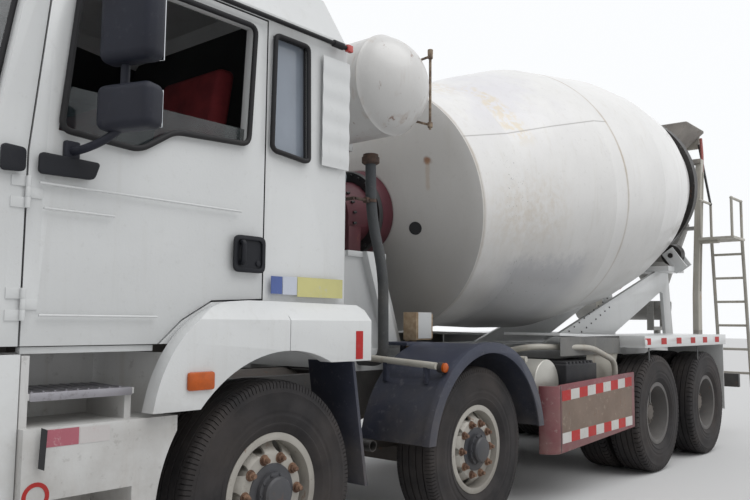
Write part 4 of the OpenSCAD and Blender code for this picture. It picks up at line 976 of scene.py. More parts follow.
sideSeals = {
    "radius": 0.013,
    "door": ((1.160, 2.100), (1.095, 2.760), (1.060, 2.800), (0.190, 2.800), (0.220, 2.210), (0.640, 2.190),
             (0.810, 2.080)),
    "quarter": ((0.070, 2.230), (0.060, 2.800), (-0.170, 2.800), (-0.185, 2.200), (-0.160, 2.190),
                (0.050, 2.210)),
    "bend": 0.045,
    "creases": (((1.235, 1.880), (0.257, 1.880)), ((1.215, 1.785), (0.916, 1.785)),
                ((1.215, 1.380), (0.700, 1.380))),
    "creaseRadius": 0.0050,
}


def sealLoop(points, radius, y, bend):
    return tube([(ahead(x), y, z) for x, z in points], radius, bend, True, 3, 5)


print("Fitting seals, handles, lamps and trim on the cab")
for side, sign in sides:
    body = doorJoints[side]
    seal = sealLoop(sideSeals["door"], sideSeals["radius"], sign * (halfCab - 0.004), sideSeals["bend"])
    settle(seal, f"doorSeal{side.title()}", body, "black_plastic", rubberSeal)
    creases = [tube([(ahead(x), sign * (halfCab - 0.0018), z) for x, z in line], sideSeals["creaseRadius"], 0)
               for line in sideSeals["creases"]]
    settle(joined(creases), f"doorCreases{side.title()}", body, "white_paint")
quarterSeals = withTwin(sealLoop(sideSeals["quarter"], sideSeals["radius"], halfCab - 0.004, 0.03))
settle(quarterSeals, "quarterSeals", "cab", "black_plastic", rubberSeal)

handle = {
    "pad": ((0.109, 1.594), (0.301, 1.769)),
    "padDepth": 0.010,
    "rim": 0.02,
    "gripOut": 0.022,
    "grip": ((0.255, 1.640), (0.255, 1.735)),
    "gripRadius": 0.013,
    "lock": (0.150, 1.640, 0.014),
}


def padOutline(pad, inset, reach):
    (lowX, lowZ), (highX, highZ) = pad
    left, right, bottom, top = lowX + inset, highX - inset, lowZ + inset, highZ - inset
    return rounded(sideOutline([(left, bottom), (right, bottom), (right, top), (left, top)]), reach)


for side, sign in sides:
    inner = padOutline(handle["pad"], handle["rim"], 0.025)
    outer = padOutline(handle["pad"], 0, 0.035)
    ring = plate(outer, "side", halfCab - 0.001, halfCab + handle["padDepth"], 0.003, [inner])
    back = plate(inner, "side", halfCab - 0.001, halfCab + 0.001)
    (gripX, gripLow), (_, gripHigh) = handle["grip"]
    footY, gripY = halfCab - 0.002, halfCab + handle["gripOut"]
    grip = tube(fromAxle(((gripX, footY, gripLow), (gripX, gripY, gripLow), (gripX, gripY, gripHigh),
                          (gripX, footY, gripHigh))), handle["gripRadius"], 0.02)
    lockX, lockZ, lockRadius = handle["lock"]
    lock = rod((ahead(lockX), halfCab, lockZ), (ahead(lockX), halfCab + 0.007, lockZ), lockRadius, 20, 0.002)
    settle(onSide(joined([ring, back, grip, lock]), sign), f"doorHandle{side.title()}", doorJoints[side],
           "black_plastic")

# Trim below the windscreen's corner, in a part on the cab and one on the door

cornerTrim = {
    "cab": ((1.389, 2.006), (1.389, 1.905), (1.297, 1.911), (1.297, 2.000)),
    "door": ((1.246, 1.996), (1.246, 1.913), (1.020, 1.918), (0.995, 1.990)),
    "thickness": 0.012,
}
for side, sign in sides:
    low, high = sorted((sign * (halfCab - 0.002), sign * (halfCab + cornerTrim["thickness"])))
    for part, body in (("cab", "cab"), ("door", doorJoints[side])):
        trim = plate(rounded(sideOutline(cornerTrim[part]), 0.02), "side", low, high, 0.004)
        settle(trim, f"cornerTrim{part.title()}{side.title()}", body, "black_plastic")

# Pressed waves on the cab's rear corners, and the gutters with their lamps

pressings = {
    "rear": (-0.489, -0.280),
    "low": 2.19,
    "high": 2.79,
    "count": 5,
    "depth": 0.0045,
    "steps": 60,
}
wave = []
for i in range(pressings["steps"] + 1):
    share = i / pressings["steps"]
    swell = (1 - math.cos(math.tau * pressings["count"] * share)) / 2
    wave.append((halfCab - 0.0012 + pressings["depth"] * swell,
                 pressings["low"] + (pressings["high"] - pressings["low"]) * share))
wave += [(halfCab - 0.004, pressings["high"]), (halfCab - 0.004, pressings["low"])]
low, high = pressings["rear"]
settle(withTwin(plate(wave, "front", ahead(low), ahead(high))), "cornerPressings", "cab", "white_paint")

gutter = {
    "out": 0.012,
    "z": 2.868,
    "rear": -0.470,
    "front": 1.185,
    "radius": 0.012,
    "plug": (0.13, 0.05, 0.019),
    "lamp": ((-0.485, 0.002, 2.848), (-0.440, 0.030, 2.888)),
}


def onGutter(x):
    return ahead(x), halfCab + gutter["out"], gutter["z"]


rail = tube([onGutter(gutter["front"]), onGutter(gutter["rear"])], gutter["radius"], 0)
plugFront, plugRear, plugRadius = gutter["plug"]
plug = rod(onGutter(gutter["rear"] + plugFront), onGutter(gutter["rear"] + plugRear), plugRadius, 16, 0.003)
settle(withTwin(joined([rail, plug])), "gutterSeals", "cab", "black_plastic", rubberSeal)
low, high = ((x, halfCab + y, z) for x, y, z in gutter["lamp"])
strip("gutterLamps", "cab", "lamp_lens", None, low, high, 0.006)

# Chequered treads, and a dark plate at the steps' front as painted shade for the slot there

treads = {
    "low": (0.800, 0.832, 1.0890),
    "high": (1.228, 1.1525, 1.0925),
    "lip": (1.147, 1.1535, 1.0600),
    "bars": 9,
    "barInset": (0.015, 0.020),
    "barStep": 0.046,
    "barSlant": 0.030,
    "barRadius": 0.0045,
}
silverTread = paintwork("silverTread", (0.36, 0.35, 0.38), 0.34, metallic=0.7, fade=0.1,
                        scuffs=((0.12, 0.11, 0.11), 0.5), dust=((0.16, 0.145, 0.13), 0.5, 0.8, 1.3))
lowX, lowY, lowZ = treads["low"]
highX, highY, highZ = treads["high"]
lipLow, lipHigh, lipZ = treads["lip"]
cover = [box(*fromAxle((treads["low"], treads["high"])), 0.001),
         box(*fromAxle(((lowX, lipLow, lipZ), (highX, lipHigh, highZ))), 0.001)]
alongInset, endInset = treads["barInset"]
for i in range(treads["bars"]):
    start = lowX + alongInset + i * treads["barStep"]
    bar = fromAxle(((start, lowY + endInset, highZ), (start + treads["barSlant"], highY - endInset, highZ)))
    cover.append(rod(*bar, treads["barRadius"], 6))
settle(withTwin(joined(cover)), "stepTreads", "chassis", "grey_steel", silverTread)
# painted shade: a thin dark plate stands in for the shadow inside the slot
wellSlot = ((1.215, 0.825), (1.192, 0.815), (1.186, 0.960), (1.209, 0.970))
slot = plate(sideOutline(wellSlot), "side", halfCab + 0.048, halfCab + 0.052)
settle(withTwin(slot), "wellSlots", "chassis", "black_plastic", darkLiningAndShade)

# Labels, reflectors and lamps

labels = {
    name: paintwork(f"label{name}", colour, 0.5, fade=fade, scuffs=scuffs) for name, colour, fade, scuffs in (
        ("Yellow", (0.52, 0.49, 0.21), 0.15, ((0.5, 0.5, 0.48), 0.4)),
        ("Blue", (0.07, 0.11, 0.30), 0.15, ((0.4, 0.4, 0.42), 0.4)),
        ("Pink", (0.42, 0.12, 0.155), 0.15, ((0.55, 0.42, 0.43), 0.7)),
        ("Pale", (0.56, 0.53, 0.52), 0.06, ((0.50, 0.26, 0.28), 0.6)),
        ("Grey", (0.50, 0.53, 0.60), 0.1, ((0.36, 0.38, 0.45), 0.4)))
}
thin = 0.0014
for name, rear, front, low, high in (("Blue", -0.012, 0.062, 1.500, 1.586),
                                     ("Grey", -0.112, -0.016, 1.498, 1.588),
                                     ("Yellow", -0.450, -0.116, 1.490, 1.590)):
    piece = box((ahead(rear), halfCab - 0.001, low), (ahead(front), halfCab + thin, high))
    settle(piece, f"strip{name}", "cab", "white_paint", labels[name])

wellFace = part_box("step_wells")[1].y
for name, finish, slot, rear, front, low, high in (
        ("pinkLabel", labels["Pink"], "maroon_paint", 1.048, 1.176, 0.893, 0.957),
        ("whitePatch", labels["Pale"], "white_paint", 0.918, 1.044, 0.893, 0.955)):
    strip(name, "chassis", slot, finish, (rear, wellFace - 0.001, low), (front, wellFace + thin, high))
redRing = {"inner": 0.036, "outer": 0.052, "place": (1.208, 0.72)}
inner, outer = redRing["inner"], redRing["outer"]
x, z = redRing["place"]
ring = lathe([(0, inner), (thin, inner), (thin, outer), (0, outer), (0, inner)], (ahead(x), wellFace, z),
             (0, 1, 0), 40)
settle(withTwin(ring), "redRings", "chassis", "lamp_lens", redTape)
strip("fenderReflectors", "cab", "lamp_lens", redTape, (-0.530, halfFender - 0.001, 1.170),
      (-0.475, halfFender + 0.002, 1.318))
strip("sideLamps", "cab", "lamp_lens", amberLens, (0.460, halfFender - 0.004, 1.067),
      (0.600, halfFender + 0.020, 1.147), 0.014)

# Mirrors

mirrorPlastic = paintwork("mirrorPlastic", (0.014, 0.016, 0.026), 0.5, fade=0.25,
                          dust=(darkDust, 0.1, 1.6, 2.6), scuffs=((0.06, 0.06, 0.07), 0.25),
                          grain=(300, 0.3), shine=0.25)
mirrorShape = {
    "centre": (1.015, 1.400),
    "turn": 19,
    "half": (0.055, 0.1275),
    "heads": ((2.086, 2.264, 0.034), (2.350, 2.750, 0.040)),  # low, high and edge rounding
    "glass": 0.016,
    "arm": ((1.110, 1.152, 2.020), (1.105, 1.222, 2.020), (1.060, 1.300, 2.050), (1.015, 1.360, 2.110)),
    "armRadius": 0.0165,
    "link": ((1.015, 1.360, 2.240), (1.015, 1.360, 2.370)),
    "foot": ((1.078, 1.138, 1.983), (1.142, 1.166, 2.062)),
}


def atMirror(piece, shape):
    piece.rotation_euler = (0, 0, math.radians(shape["turn"]))
    return moved(piece, (ahead(shape["centre"][0]), shape["centre"][1], 0))


for side, sign in sides:
    deep, wide = mirrorShape["half"]
    inset = mirrorShape["glass"]
    heads = [atMirror(box((-deep, -wide, low), (deep, wide, high), edge, 5), mirrorShape)
             for low, high, edge in mirrorShape["heads"]]
    faces = [atMirror(box((-deep - 0.0015, inset - wide, low + inset),
                          (0.004 - deep, wide - inset, high - inset), 0.001), mirrorShape)
             for low, high, edge in mirrorShape["heads"]]
    low, high = fromAxle(mirrorShape["foot"])
    holders = [tube(fromAxle(mirrorShape["arm"]), mirrorShape["armRadius"], 0.05),
               rod(*fromAxle(mirrorShape["link"]), 0.018, 20), box(low, high, 0.009, 3)]
    settle(onSide(joined(heads + holders), sign), f"mirrorHousing{side.title()}", doorJoints[side],
           "dark_blue_plastic", mirrorPlastic, [f"mirror_{side}"])
    settle(onSide(joined(faces), sign), f"mirrorFaces{side.title()}", doorJoints[side], "ring_steel",
           mirrorGlass)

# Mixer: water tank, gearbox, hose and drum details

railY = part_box("frame")[1].y

blackSteel = paintwork("blackSteel", (0.020, 0.020, 0.021), 0.45, fade=0.3, dust=(darkDust, 0.3, 0.8, 2.4),
                       rust=(rustBrown, 0.3, 18))
hoseRubber = paintwork("hoseRubber", (0.050, 0.055, 0.060), 0.7, fade=0.3, dust=(roadDust, 0.3, 0.9, 2.4),
                       scuffs=((0.14, 0.14, 0.14), 0.4), grain=(180, 0.6))
greyPrimer = paintwork("greyPrimer", (0.17, 0.172, 0.17), 0.7, fade=0.15, dust=(roadDust, 0.4, 0.6, 1.8),
                       streaks=((0.30, 0.28, 0.25), 0.4), scuffs=((0.10, 0.09, 0.085), 0.5))
olivePaint = paintwork("oliveField", (0.155, 0.105, 0.078), 0.6, fade=0.2, dust=(roadDust, 0.4, 0.3, 1.2),
                       scuffs=((0.33, 0.27, 0.22), 0.7), rust=(rustBrown, 0.4, 22))
creamPaint = paintwork("creamPaint", (0.46, 0.44, 0.39), 0.55, fade=0.1, dust=(roadDust, 0.6, 0.5, 1.3),
                       streaks=((0.30, 0.22, 0.15), 0.5), rust=(rustTan, 0.5, 14))
rustedPipe = rustFinish("rustedPipe", (0.11, 0.075, 0.055), (0.36, 0.28, 0.20))
blueCap = paintwork("blueCap", (0.20, 0.23, 0.26), 0.5, fade=0.15, dust=(roadDust, 0.4, 1.0, 3.0))

print("Building the water tank and the drum's gear")
waterTank = {
    "x": -1.150,
    "z": 2.880,
    "radius": 0.320,
    "half": 0.900,
    "dome": 0.240,
    "weld": 0.004,
    "straps": (0.400, 0.030, 0.006),
    "cap": (0.300, 0.080, 0.045),
    "sight": (-0.250, 1.045, 0.230, 0.009),
}


def tankProfile(shape):
    radius, half, dome = shape["radius"], shape["half"], shape["dome"]
    ball = (radius ** 2 + dome ** 2) / (2 * dome)
    widest = math.degrees(math.asin(radius / ball))
    end = [(half + dome - ball + along, across) for along, across in arc((0, 0), ball, 0, widest, 14)]
    weld = [(half + 0.012, radius - 0.001), (half + 0.006, radius + shape["weld"]),
            (half - 0.004, radius + shape["weld"]), (half - 0.010, radius)]
    side = end[:-1] + weld
    return [(-along, across) for along, across in side] + side[::-1]


def strapRing(y, half, thickness, shape):
    inner, outer = shape["radius"] - 0.002, shape["radius"] + thickness
    return lathe([(-half, inner), (-half, outer), (half, outer), (half, inner), (-half, inner)],
                 (ahead(shape["x"]), y, shape["z"]), (0, 1, 0), 72)


tankMiddle = Vector((ahead(waterTank["x"]), 0, waterTank["z"]))
strapY, strapHalf, strapThick = waterTank["straps"]
capY, capRadius, capHeight = waterTank["cap"]
capFoot = tankMiddle + Vector((0, capY, waterTank["radius"] - 0.012))
tankParts = [lathe(tankProfile(waterTank), tankMiddle, (0, 1, 0), 96),
             rod(capFoot, capFoot + Vector((0, 0, capHeight - 0.012)), capRadius - 0.012, 32),
             rod(capFoot + Vector((0, 0, capHeight - 0.016)), capFoot + Vector((0, 0, capHeight + 0.004)),
                 capRadius, 32, 0.004)]
settle(joined(tankParts), "waterTankBody", "chassis", "drum_paint", waterTankPaint, ["water_tank"], 30)
settle(joined([strapRing(sign * strapY, strapHalf, strapThick, waterTank) for sign in (-1, 1)]),
       "tankStraps", "chassis", "grey_steel")
sightX, sightY, sightHalf, sightRadius = waterTank["sight"]
low, high = (tankMiddle + Vector((sightX, sightY, step)) for step in (-sightHalf, sightHalf))
sight = [rod(low - Vector((0, 0, 0.03)), high + Vector((0, 0, 0.02)), sightRadius, 16),
         rod(high + Vector((0, 0, 0.01)), high + Vector((0, 0, 0.045)), 0.018, 12, 0.003)]
for end, step in ((low, -1), (high, 1)):
    sight.append(rod(end, (end.x + 0.050, end.y - 0.105, end.z - step * 0.035), sightRadius * 0.9, 14))
    sight.append(rod(end - Vector((0, 0, 0.018)), end + Vector((0, 0, 0.018)), 0.017, 10, 0.003))
settle(joined(sight), "sightTube", "chassis", "rusty_steel", rustedPipe)

# Gearbox with its bolted flanges

axisTilt = math.radians(drumAxis["tilt"])
axisStart, holeMiddle = (Vector(place) for place in fromAxle((drumAxis["start"], drumAxis["headHole"])))
axisWay = Vector((-math.cos(axisTilt), 0, math.sin(axisTilt)))


def onAxis(along):
    return axisStart + axisWay * along


def flangeBolts(along, radius, count, reach, height):
    turn = axisWay.to_track_quat("Z", "Y").to_matrix().to_4x4()
    bolt = rod((radius, 0, 0), (radius, 0, height), reach, 6, 0.0015)
    bolts = around(bolt, count, (0, 0, 0), (0, 0, 1))
    bolts.matrix_world = Matrix.Translation(onAxis(along)) @ turn
    return freeze(bolts)


gearbox = {
    "edge": 0.005,
    "ringAt": 0.262,
    "ring": ((0, 0.242), (0, 0.316), (0.022, 0.322), (0.034, 0.322), (0.034, 0.242), (0, 0.242)),
    # along the axis, bolt circle, count, bolt radius and height
    "flanges": ((0.250, 0.290, 24, 0.013, 0.016), (0.050, 0.250, 20, 0.010, 0.030),
                (-0.012, 0.205, 16, 0.012, 0.022)),
    "lid": ((-0.330, 0), (-0.330, 0.085), (-0.318, 0.105), (-0.262, 0.110), (-0.258, 0)),
    "cover": ((0.0, 0), (0.0, 0.095), (0.050, 0.110), (0.085, 0.105), (0.095, 0.085), (0.095, 0)),
    "coverAt": (0.13, 0.225),
}
gearboxPaint = paintwork("gearboxPaint", (0.075, 0.013, 0.022), 0.5, fade=0.25,
                         dust=(roadDust, 0.15, 1.6, 2.6), rust=(rustBrown, 0.4, 14), shine=0.35)
settle(dressed("drum_gearbox", gearbox["edge"]), "gearboxCase", "chassis", "maroon_paint", gearboxPaint,
       ["drum_gearbox"])
blackRing = lathe(gearbox["ring"], onAxis(gearbox["ringAt"]), axisWay, 72)
settle(joined([blackRing, *(flangeBolts(*row) for row in gearbox["flanges"])]), "gearboxRing", "chassis",
       "black_plastic", blackSteel)
lid = lathe(gearbox["lid"], onAxis(0), axisWay, 48)
upright = Vector((axisWay.z, 0, -axisWay.x))
along, rise = gearbox["coverAt"]
topCover = lathe(gearbox["cover"], onAxis(along) + upright * rise, upright, 40)
settle(joined([lid, topCover]), "gearboxCovers", "chassis", "grey_steel", blueCap)

# Black disc on the drum's front, painted shade standing in for the hole there

outward = (holeMiddle - onAxis((holeMiddle - axisStart).dot(axisWay))).normalized()
facing = (outward * 0.326 - axisWay * 0.945).normalized()
disc = lathe([(-0.004, 0), (-0.004, 0.050), (0.003, 0.050), (0.003, 0.0)], holeMiddle, facing, 36)
settle(disc, "headHole", "drum_body", "black_plastic", darkLiningAndShade)

# Hose with its cap and clamps, and the tubes along the side

intakeHose = {
    "path": ((-1.430, 0.430, 1.105), (-1.430, 0.640, 1.105), (-1.410, 0.650, 1.700), (-1.290, 0.640, 2.080),
             (-1.280, 0.640, 2.425)),
    "radius": 0.036,
    "capAt": (-1.280, 0.640),
    "cap": ((2.420, 0), (2.420, 0.047), (2.430, 0.060), (2.466, 0.060), (2.472, 0.052), (2.486, 0.052),
            (2.490, 0.044), (2.490, 0)),
    "clampAt": (-1.2805, 0.640, 2.172),
    "clamp": (0.010, 0.030, 0.042),
    "links": (((-1.245, 0.640, 2.172), (-1.130, 0.640, 2.172), 0.010),
              ((-1.120, 0.640, 2.172), (-1.120, 0.455, 2.172), 0.012)),
    "lug": ((-1.262, 0.622, 2.155), (-1.225, 0.658, 2.190)),
}
hose = tube(fromAxle(intakeHose["path"]), intakeHose["radius"], 0.16, steps=6, curl=12)
settle(hose, "intakeHose", "chassis", "black_plastic", hoseRubber, ["pipes"])
capX, capY = intakeHose["capAt"]
half, inner, outer = intakeHose["clamp"]
clampProfile = [(-half, inner), (-half, outer), (half, outer), (half, inner), (-half, inner)]
hoseMetal = [lathe(intakeHose["cap"], (ahead(capX), capY, 0), (0, 0, 1), 32),
             lathe(clampProfile, fromAxle((intakeHose["clampAt"],))[0], (0, 0, 1), 32),
             *(rod(*fromAxle(ends), radius, 12) for *ends, radius in intakeHose["links"]),
             box(*fromAxle(intakeHose["lug"]), 0.004)]
capRust = rustFinish("capRust", (0.055, 0.038, 0.032), (0.12, 0.075, 0.055))
settle(joined(hoseMetal), "hoseCap", "chassis", "rusty_steel", capRust)

sideTubes = {
    "stays": (((-1.310, 0.429, 1.140), (-1.310, 1.165, 1.100)),
              ((-2.380, 0.425, 1.110), (-2.380, 1.185, 1.110))),
    "stayRadius": 0.022,
    "flapRod": ((-0.649, 0.425, 0.900), (-0.649, 1.100, 0.900)),
    "exhaust": ((-0.910, 0.425, 0.644), (-0.910, 1.000, 0.644)),
    "exhaustRadius": (0.033, 0.0285),
    "hanger": ((-0.930, 0.425, 0.640), (-0.890, 0.437, 0.880)),
    "shoe": ((-1.345, 0.425, 1.105), (-1.275, 0.433, 1.175)),
    "water": ((-3.020, 0.425, 1.110), (-3.020, 0.515, 1.110), (-3.020, 0.860, 1.180), (-3.720, 1.060, 1.165),
              (-4.130, 1.090, 1.040), (-4.130, 1.090, 0.850), (-4.130, 0.425, 0.850)),
    "lamp": (-1.345, 1.150, 1.220, 1.090, 0.033),
}
stays = [tube(fromAxle(path), sideTubes["stayRadius"], 0, steps=4) for path in sideTubes["stays"]]
stays += [tube(fromAxle(sideTubes["flapRod"]), 0.021, 0, steps=3), box(*fromAxle(sideTubes["hanger"]), 0.002),
          box(*fromAxle(sideTubes["shoe"]), 0.004)]
settle(withTwin(joined(stays)), "stayTubes", "chassis", "grey_steel", creamPaint, ["pipes"])
outerRadius, boreRadius = sideTubes["exhaustRadius"]
start, end = fromAxle(sideTubes["exhaust"])
reach = end[1] - start[1]
exhaust = lathe([(0, 0), (0, outerRadius), (reach, outerRadius), (reach, boreRadius),
                 (reach - 0.12, boreRadius), (reach - 0.12, 0)], start, (0, 1, 0), 32)
settle(withTwin(exhaust), "exhaustPipes", "chassis", "rusty_steel", blackSteel)
settle(tube(fromAxle(sideTubes["water"]), 0.025, 0.10, steps=4, curl=8), "waterPipe", "chassis",
       "grey_steel", creamPaint)
lampX, lampLow, lampHigh, lampZ, lampRadius = sideTubes["lamp"]
rim = lampHigh - lampLow - 0.022
cupProfile = [(0, 0), (0, lampRadius * 0.7), (0.012, lampRadius), (rim, lampRadius), (rim, 0)]
lensProfile = [(-0.024, 0), (-0.024, lampRadius - 0.003), (-0.008, lampRadius - 0.003),
               (-0.002, lampRadius * 0.6), (0, 0)]
for name, profile, y, slot, finish in (("stayLampCups", cupProfile, lampLow, "black_plastic", blackSteel),
                                       ("stayLampLenses", lensProfile, lampHigh, "lamp_lens", amberLens)):
    settle(withTwin(lathe(profile, (ahead(lampX), y, lampZ), (0, 1, 0), 28)), name, "chassis", slot, finish)

# Chassis side: guards, battery box, tanks, rear fenders and pedestals

print("Dressing the chassis side")
for node, name, edge, finish in (
        ("mudguards", "mudguardArches", 0.006, None),
        ("rear_fenders", "rearFenders", 0.005, None),
        ("side_guards", "sideGuards", 0.006, None),
        ("battery_box", "batteryBox", 0.010, None),
        ("tanks", "tankShells", 0.008, None),
        ("front_pedestal", "frontPedestal", 0.005, None),
        ("rear_pedestal", "rearPedestal", 0.005, None),
        ("subframe", "subframeRails", 0.004, None),
        ("sign_box", "signBox", 0.004, rustFinish("signTan", (0.34, 0.24, 0.15), (0.48, 0.37, 0.25))),
        ("hopper", "hopperShell", 0.004, None),
        ("trough", "troughShell", 0.0, None),
        ("ladder", "ladderFrame", 0.0, creamPaint),
        ("lamps", "lampBars", 0.006, blackSteel)):
    slot = next(part["material_slot"] for part in frame["record"]["subparts"] if part["node"] == node)
    settle(dressed(node, edge), name, "chassis", slot, finish, [node])

guardSign = {
    "y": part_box("side_guards")[1].y,
    "front": -2.815,
    "rear": -4.130,
    "top": (0.862, 0.908),  # at the front and at the rear end
    "low": (0.470, 0.492),
    "blocks": 9,
    "height": 0.078,
    "thickness": 0.0016,
}


def signEdge(key, share, shape):
    # a point on the sign's top or low edge, at a share of its length
    first, last = shape[key]
    return shape["front"] + (shape["rear"] - shape["front"]) * share, first + (last - first) * share


def signBlock(start, end, key, height, thickness, shape):
    corners = [signEdge(key, start, shape), signEdge(key, end, shape)]
    step = -height if key == "top" else height
    outline = corners + [(x, z + step) for x, z in reversed(corners)]
    return plate(sideOutline(outline), "side", shape["y"] - 0.001, shape["y"] + thickness)


corners = [signEdge(key, share, guardSign) for key, share in (("top", 0), ("top", 1), ("low", 1), ("low", 0))]
field = plate(sideOutline(corners), "side", guardSign["y"] - 0.001, guardSign["y"] + 0.0008)
settle(withTwin(field), "guardSignFields", "chassis", "maroon_paint", olivePaint)
for name, finish, slot, first in (("guardRedBlocks", redTape, "lamp_lens", 0),
                                  ("guardWhiteBlocks", whiteTape, "white_paint", 1)):
    blocks = []
    for key, shift in (("top", 0), ("low", 1)):
        for i in range(guardSign["blocks"]):
            if (i + shift + first) % 2 == 0:
                blocks.append(signBlock(i / guardSign["blocks"], (i + 1) / guardSign["blocks"], key,
                                        guardSign["height"], guardSign["thickness"], guardSign))
    settle(withTwin(joined(blocks)), name, "chassis", slot, finish)
seamLow, seamHigh = (-2.800, guardSign["y"] - 0.001, 0.405), (-2.792, guardSign["y"] + 0.002, 0.900)
strip("guardSeams", "chassis", "maroon_paint", blackSteel, seamLow, seamHigh, 0.0012)

fenderBlocks = {
    "places": (-4.520, -4.922, -5.331, -5.745, -6.127, -6.537),
    "half": (0.068, 0.030),
    "z": 1.209,
    "strapX": (-4.585, -5.930),
    "strapZ": (0.640, 1.262),
}
halfLong, halfTall = fenderBlocks["half"]
low, high = fenderBlocks["z"] - halfTall, fenderBlocks["z"] + halfTall
blocks = [box(*fromAxle(((x - halfLong, halfFender - 0.001, low), (x + halfLong, halfFender + 0.0016, high))))
          for x in fenderBlocks["places"]]
settle(withTwin(joined(blocks)), "fenderRedBlocks", "chassis", "lamp_lens", redTape)
low, high = fenderBlocks["strapZ"]
hangers = [box(*fromAxle(((x - 0.014, halfFender - 0.022, low), (x + 0.014, halfFender - 0.016, high))),
               0.002) for x in fenderBlocks["strapX"]]
settle(withTwin(joined(hangers)), "rubberStraps", "chassis", "black_plastic", hoseRubber)

slope = {
    "foot": (-4.109, 1.180),
    "rise": 0.3858,
    "tapes": (-5.97, -6.30, -6.66),
    "tape": ((-0.085, -0.076), (0.085, -0.142), (0.085, -0.072), (-0.085, -0.006)),
    "bolts": 9,
    "boltStart": -4.62,
    "boltStep": 0.115,
    "boltRows": ((0.0, 0.085), (0.050, 0.200)),  # set back along the plate, and below its edge
    "boltFloor": 1.215,
    "boltRadius": 0.008,
}


def slopeEdge(x):
    # height of the sloping plate's edge
    return slope["foot"][1] + (slope["foot"][0] - x) * slope["rise"]


tapes = [plate(sideOutline([(x + stepX, slopeEdge(x) + stepZ) for stepX, stepZ in slope["tape"]]), "side",
               railY - 0.0205, railY - 0.0184) for x in slope["tapes"]]
settle(withTwin(joined(tapes)), "slopeReflectors", "chassis", "lamp_lens", redTape)
bolts = []
for i in range(slope["bolts"]):
    for back, drop in slope["boltRows"]:
        x = slope["boltStart"] - i * slope["boltStep"] - back
        z = slopeEdge(x) - drop
        if z > slope["boltFloor"]:
            bolts.append(rod((ahead(x), railY - 0.021, z), (ahead(x), railY - 0.012, z),
                             slope["boltRadius"], 8))
settle(withTwin(joined(bolts)), "slopeBolts", "chassis", "black_plastic", blackSteel)

# Splash plates between the guards and the rear fenders, in grey primer and pale paint

splash = {
    "upper": (((-3.250, 1.100), (-4.435, 1.100), (-4.435, 1.262), (-3.250, 1.256)), 1.004),
    "lower": (((-3.760, 0.890), (-4.300, 0.890), (-4.420, 1.104), (-3.760, 1.104)), 0.990),
    "shelf": ((-4.420, 0.900, 1.098), (-3.760, 1.008, 1.104)),
    "thickness": 0.006,
    "edge": 0.002,
}
upper, lower = (plate(sideOutline(outline), "side", y, y + splash["thickness"], splash["edge"])
                for outline, y in (splash["upper"], splash["lower"]))
shelf = box(*fromAxle(splash["shelf"]), splash["edge"])
settle(withTwin(upper), "splashPlates", "chassis", "chassis_paint", greyPrimer)
settle(withTwin(joined([lower, shelf])), "paleSplashPlates", "chassis", "chassis_paint", creamPaint)

# Blank sheet on the sign box

sheetPaint = paintwork("blankSheet", (0.56, 0.57, 0.57), 0.45, fade=0.05, scuffs=((0.30, 0.31, 0.33), 0.5))
sheet = box(*fromAxle(((-2.055, 0.578, 1.250), (-1.895, 0.5815, 1.440))), 0.001)
settle(sheet, "blankSheet", "chassis", "white_paint", sheetPaint)

# Front: windscreen rubber, wipers, grille bars, lamps and plate

print("Trimming the front and the tail")
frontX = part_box("bumper")[1].x
cabFront = cabBox[1].x
screen = {
    "foot": (1.420, 1.950),
    "head": (1.265, 2.890),
    "half": 1.060,
    "seal": 0.013,
    "sealShares": (0.02, 0.93),
    "sealOut": 0.004,
    "wiperPivots": (-0.620, 0.080),
    "wiperArm": ((-0.02, 0.0, 0.028), (0.12, 0.25, 0.030)),  # share of the height, step along, distance out
    "wiperBlade": ((0.075, 0.02, 0.022), (0.165, 0.620, 0.022)),
    "armRadius": 0.009,
    "bladeRadius": 0.0075,
}


def onScreen(share, y, out=0.0):
    # a point on the windscreen's outer face, at a share of its height
    (footX, footZ), (headX, headZ) = screen["foot"], screen["head"]
    lean = math.atan2(headZ - footZ, footX - headX)
    return Vector((ahead(footX + (headX - footX) * share + out * math.sin(lean)), y,
                   footZ + (headZ - footZ) * share + out * math.cos(lean)))


low, high = screen["sealShares"]
sealPath = [onScreen(share, sign * screen["half"], screen["sealOut"])
            for share, sign in ((low, -1), (low, 1), (high, 1), (high, -1))]
settle(tube(sealPath, screen["seal"], 0.10, True, 3, 6), "screenSeal", "cab", "black_plastic", rubberSeal)
wipers = []
for pivotY in screen["wiperPivots"]:
    arm, blade = ([onScreen(share, pivotY + step, out) for share, step, out in screen[key]]
                  for key in ("wiperArm", "wiperBlade"))
    hub = rod(arm[0] - Vector((0.03, 0, 0)), arm[0] + Vector((0.012, 0, 0)), 0.018, 16, 0.003)
    wipers += [tube(arm, screen["armRadius"], 0, steps=2), hub,
               tube(blade, screen["bladeRadius"], 0, steps=2)]
settle(joined(wipers), "wipers", "cab", "black_plastic", blackSteel)

frontTrim = {
    "grilleRows": (1.330, 1.440, 1.550, 1.660, 1.770),
    "grilleHalf": (0.78, 0.028),
    "emblem": (0.16, 1.845, 1.885),
    "lampZ": (0.648, 0.842),
    "headlamp": (0.725, 0.965),
    "turnLamp": (0.972, 1.037),
    "bowls": (0.790, 0.900),
    "bowlZ": 0.745,
    "plateHalf": (0.220, 0.070),
    "plateZ": 0.860,
    "roofRows": (-0.86, -0.43, 0.0, 0.43, 0.86),
    "roofLamp": ((1.16, -0.055, 2.900), (1.23, 0.055, 2.935)),
}
halfWide, halfTall = frontTrim["grilleHalf"]
bars = [box((cabFront - 0.030, -halfWide, z - halfTall), (cabFront + 0.004, halfWide, z + halfTall), 0.010, 3)
        for z in frontTrim["grilleRows"]]
settle(joined(bars), "grilleBars", "cab", "black_plastic")
half, low, high = frontTrim["emblem"]
settle(box((cabFront - 0.02, -half, low), (cabFront + 0.003, half, high), 0.008, 3), "bareEmblem", "cab",
       "grey_steel")
low, high = frontTrim["lampZ"]
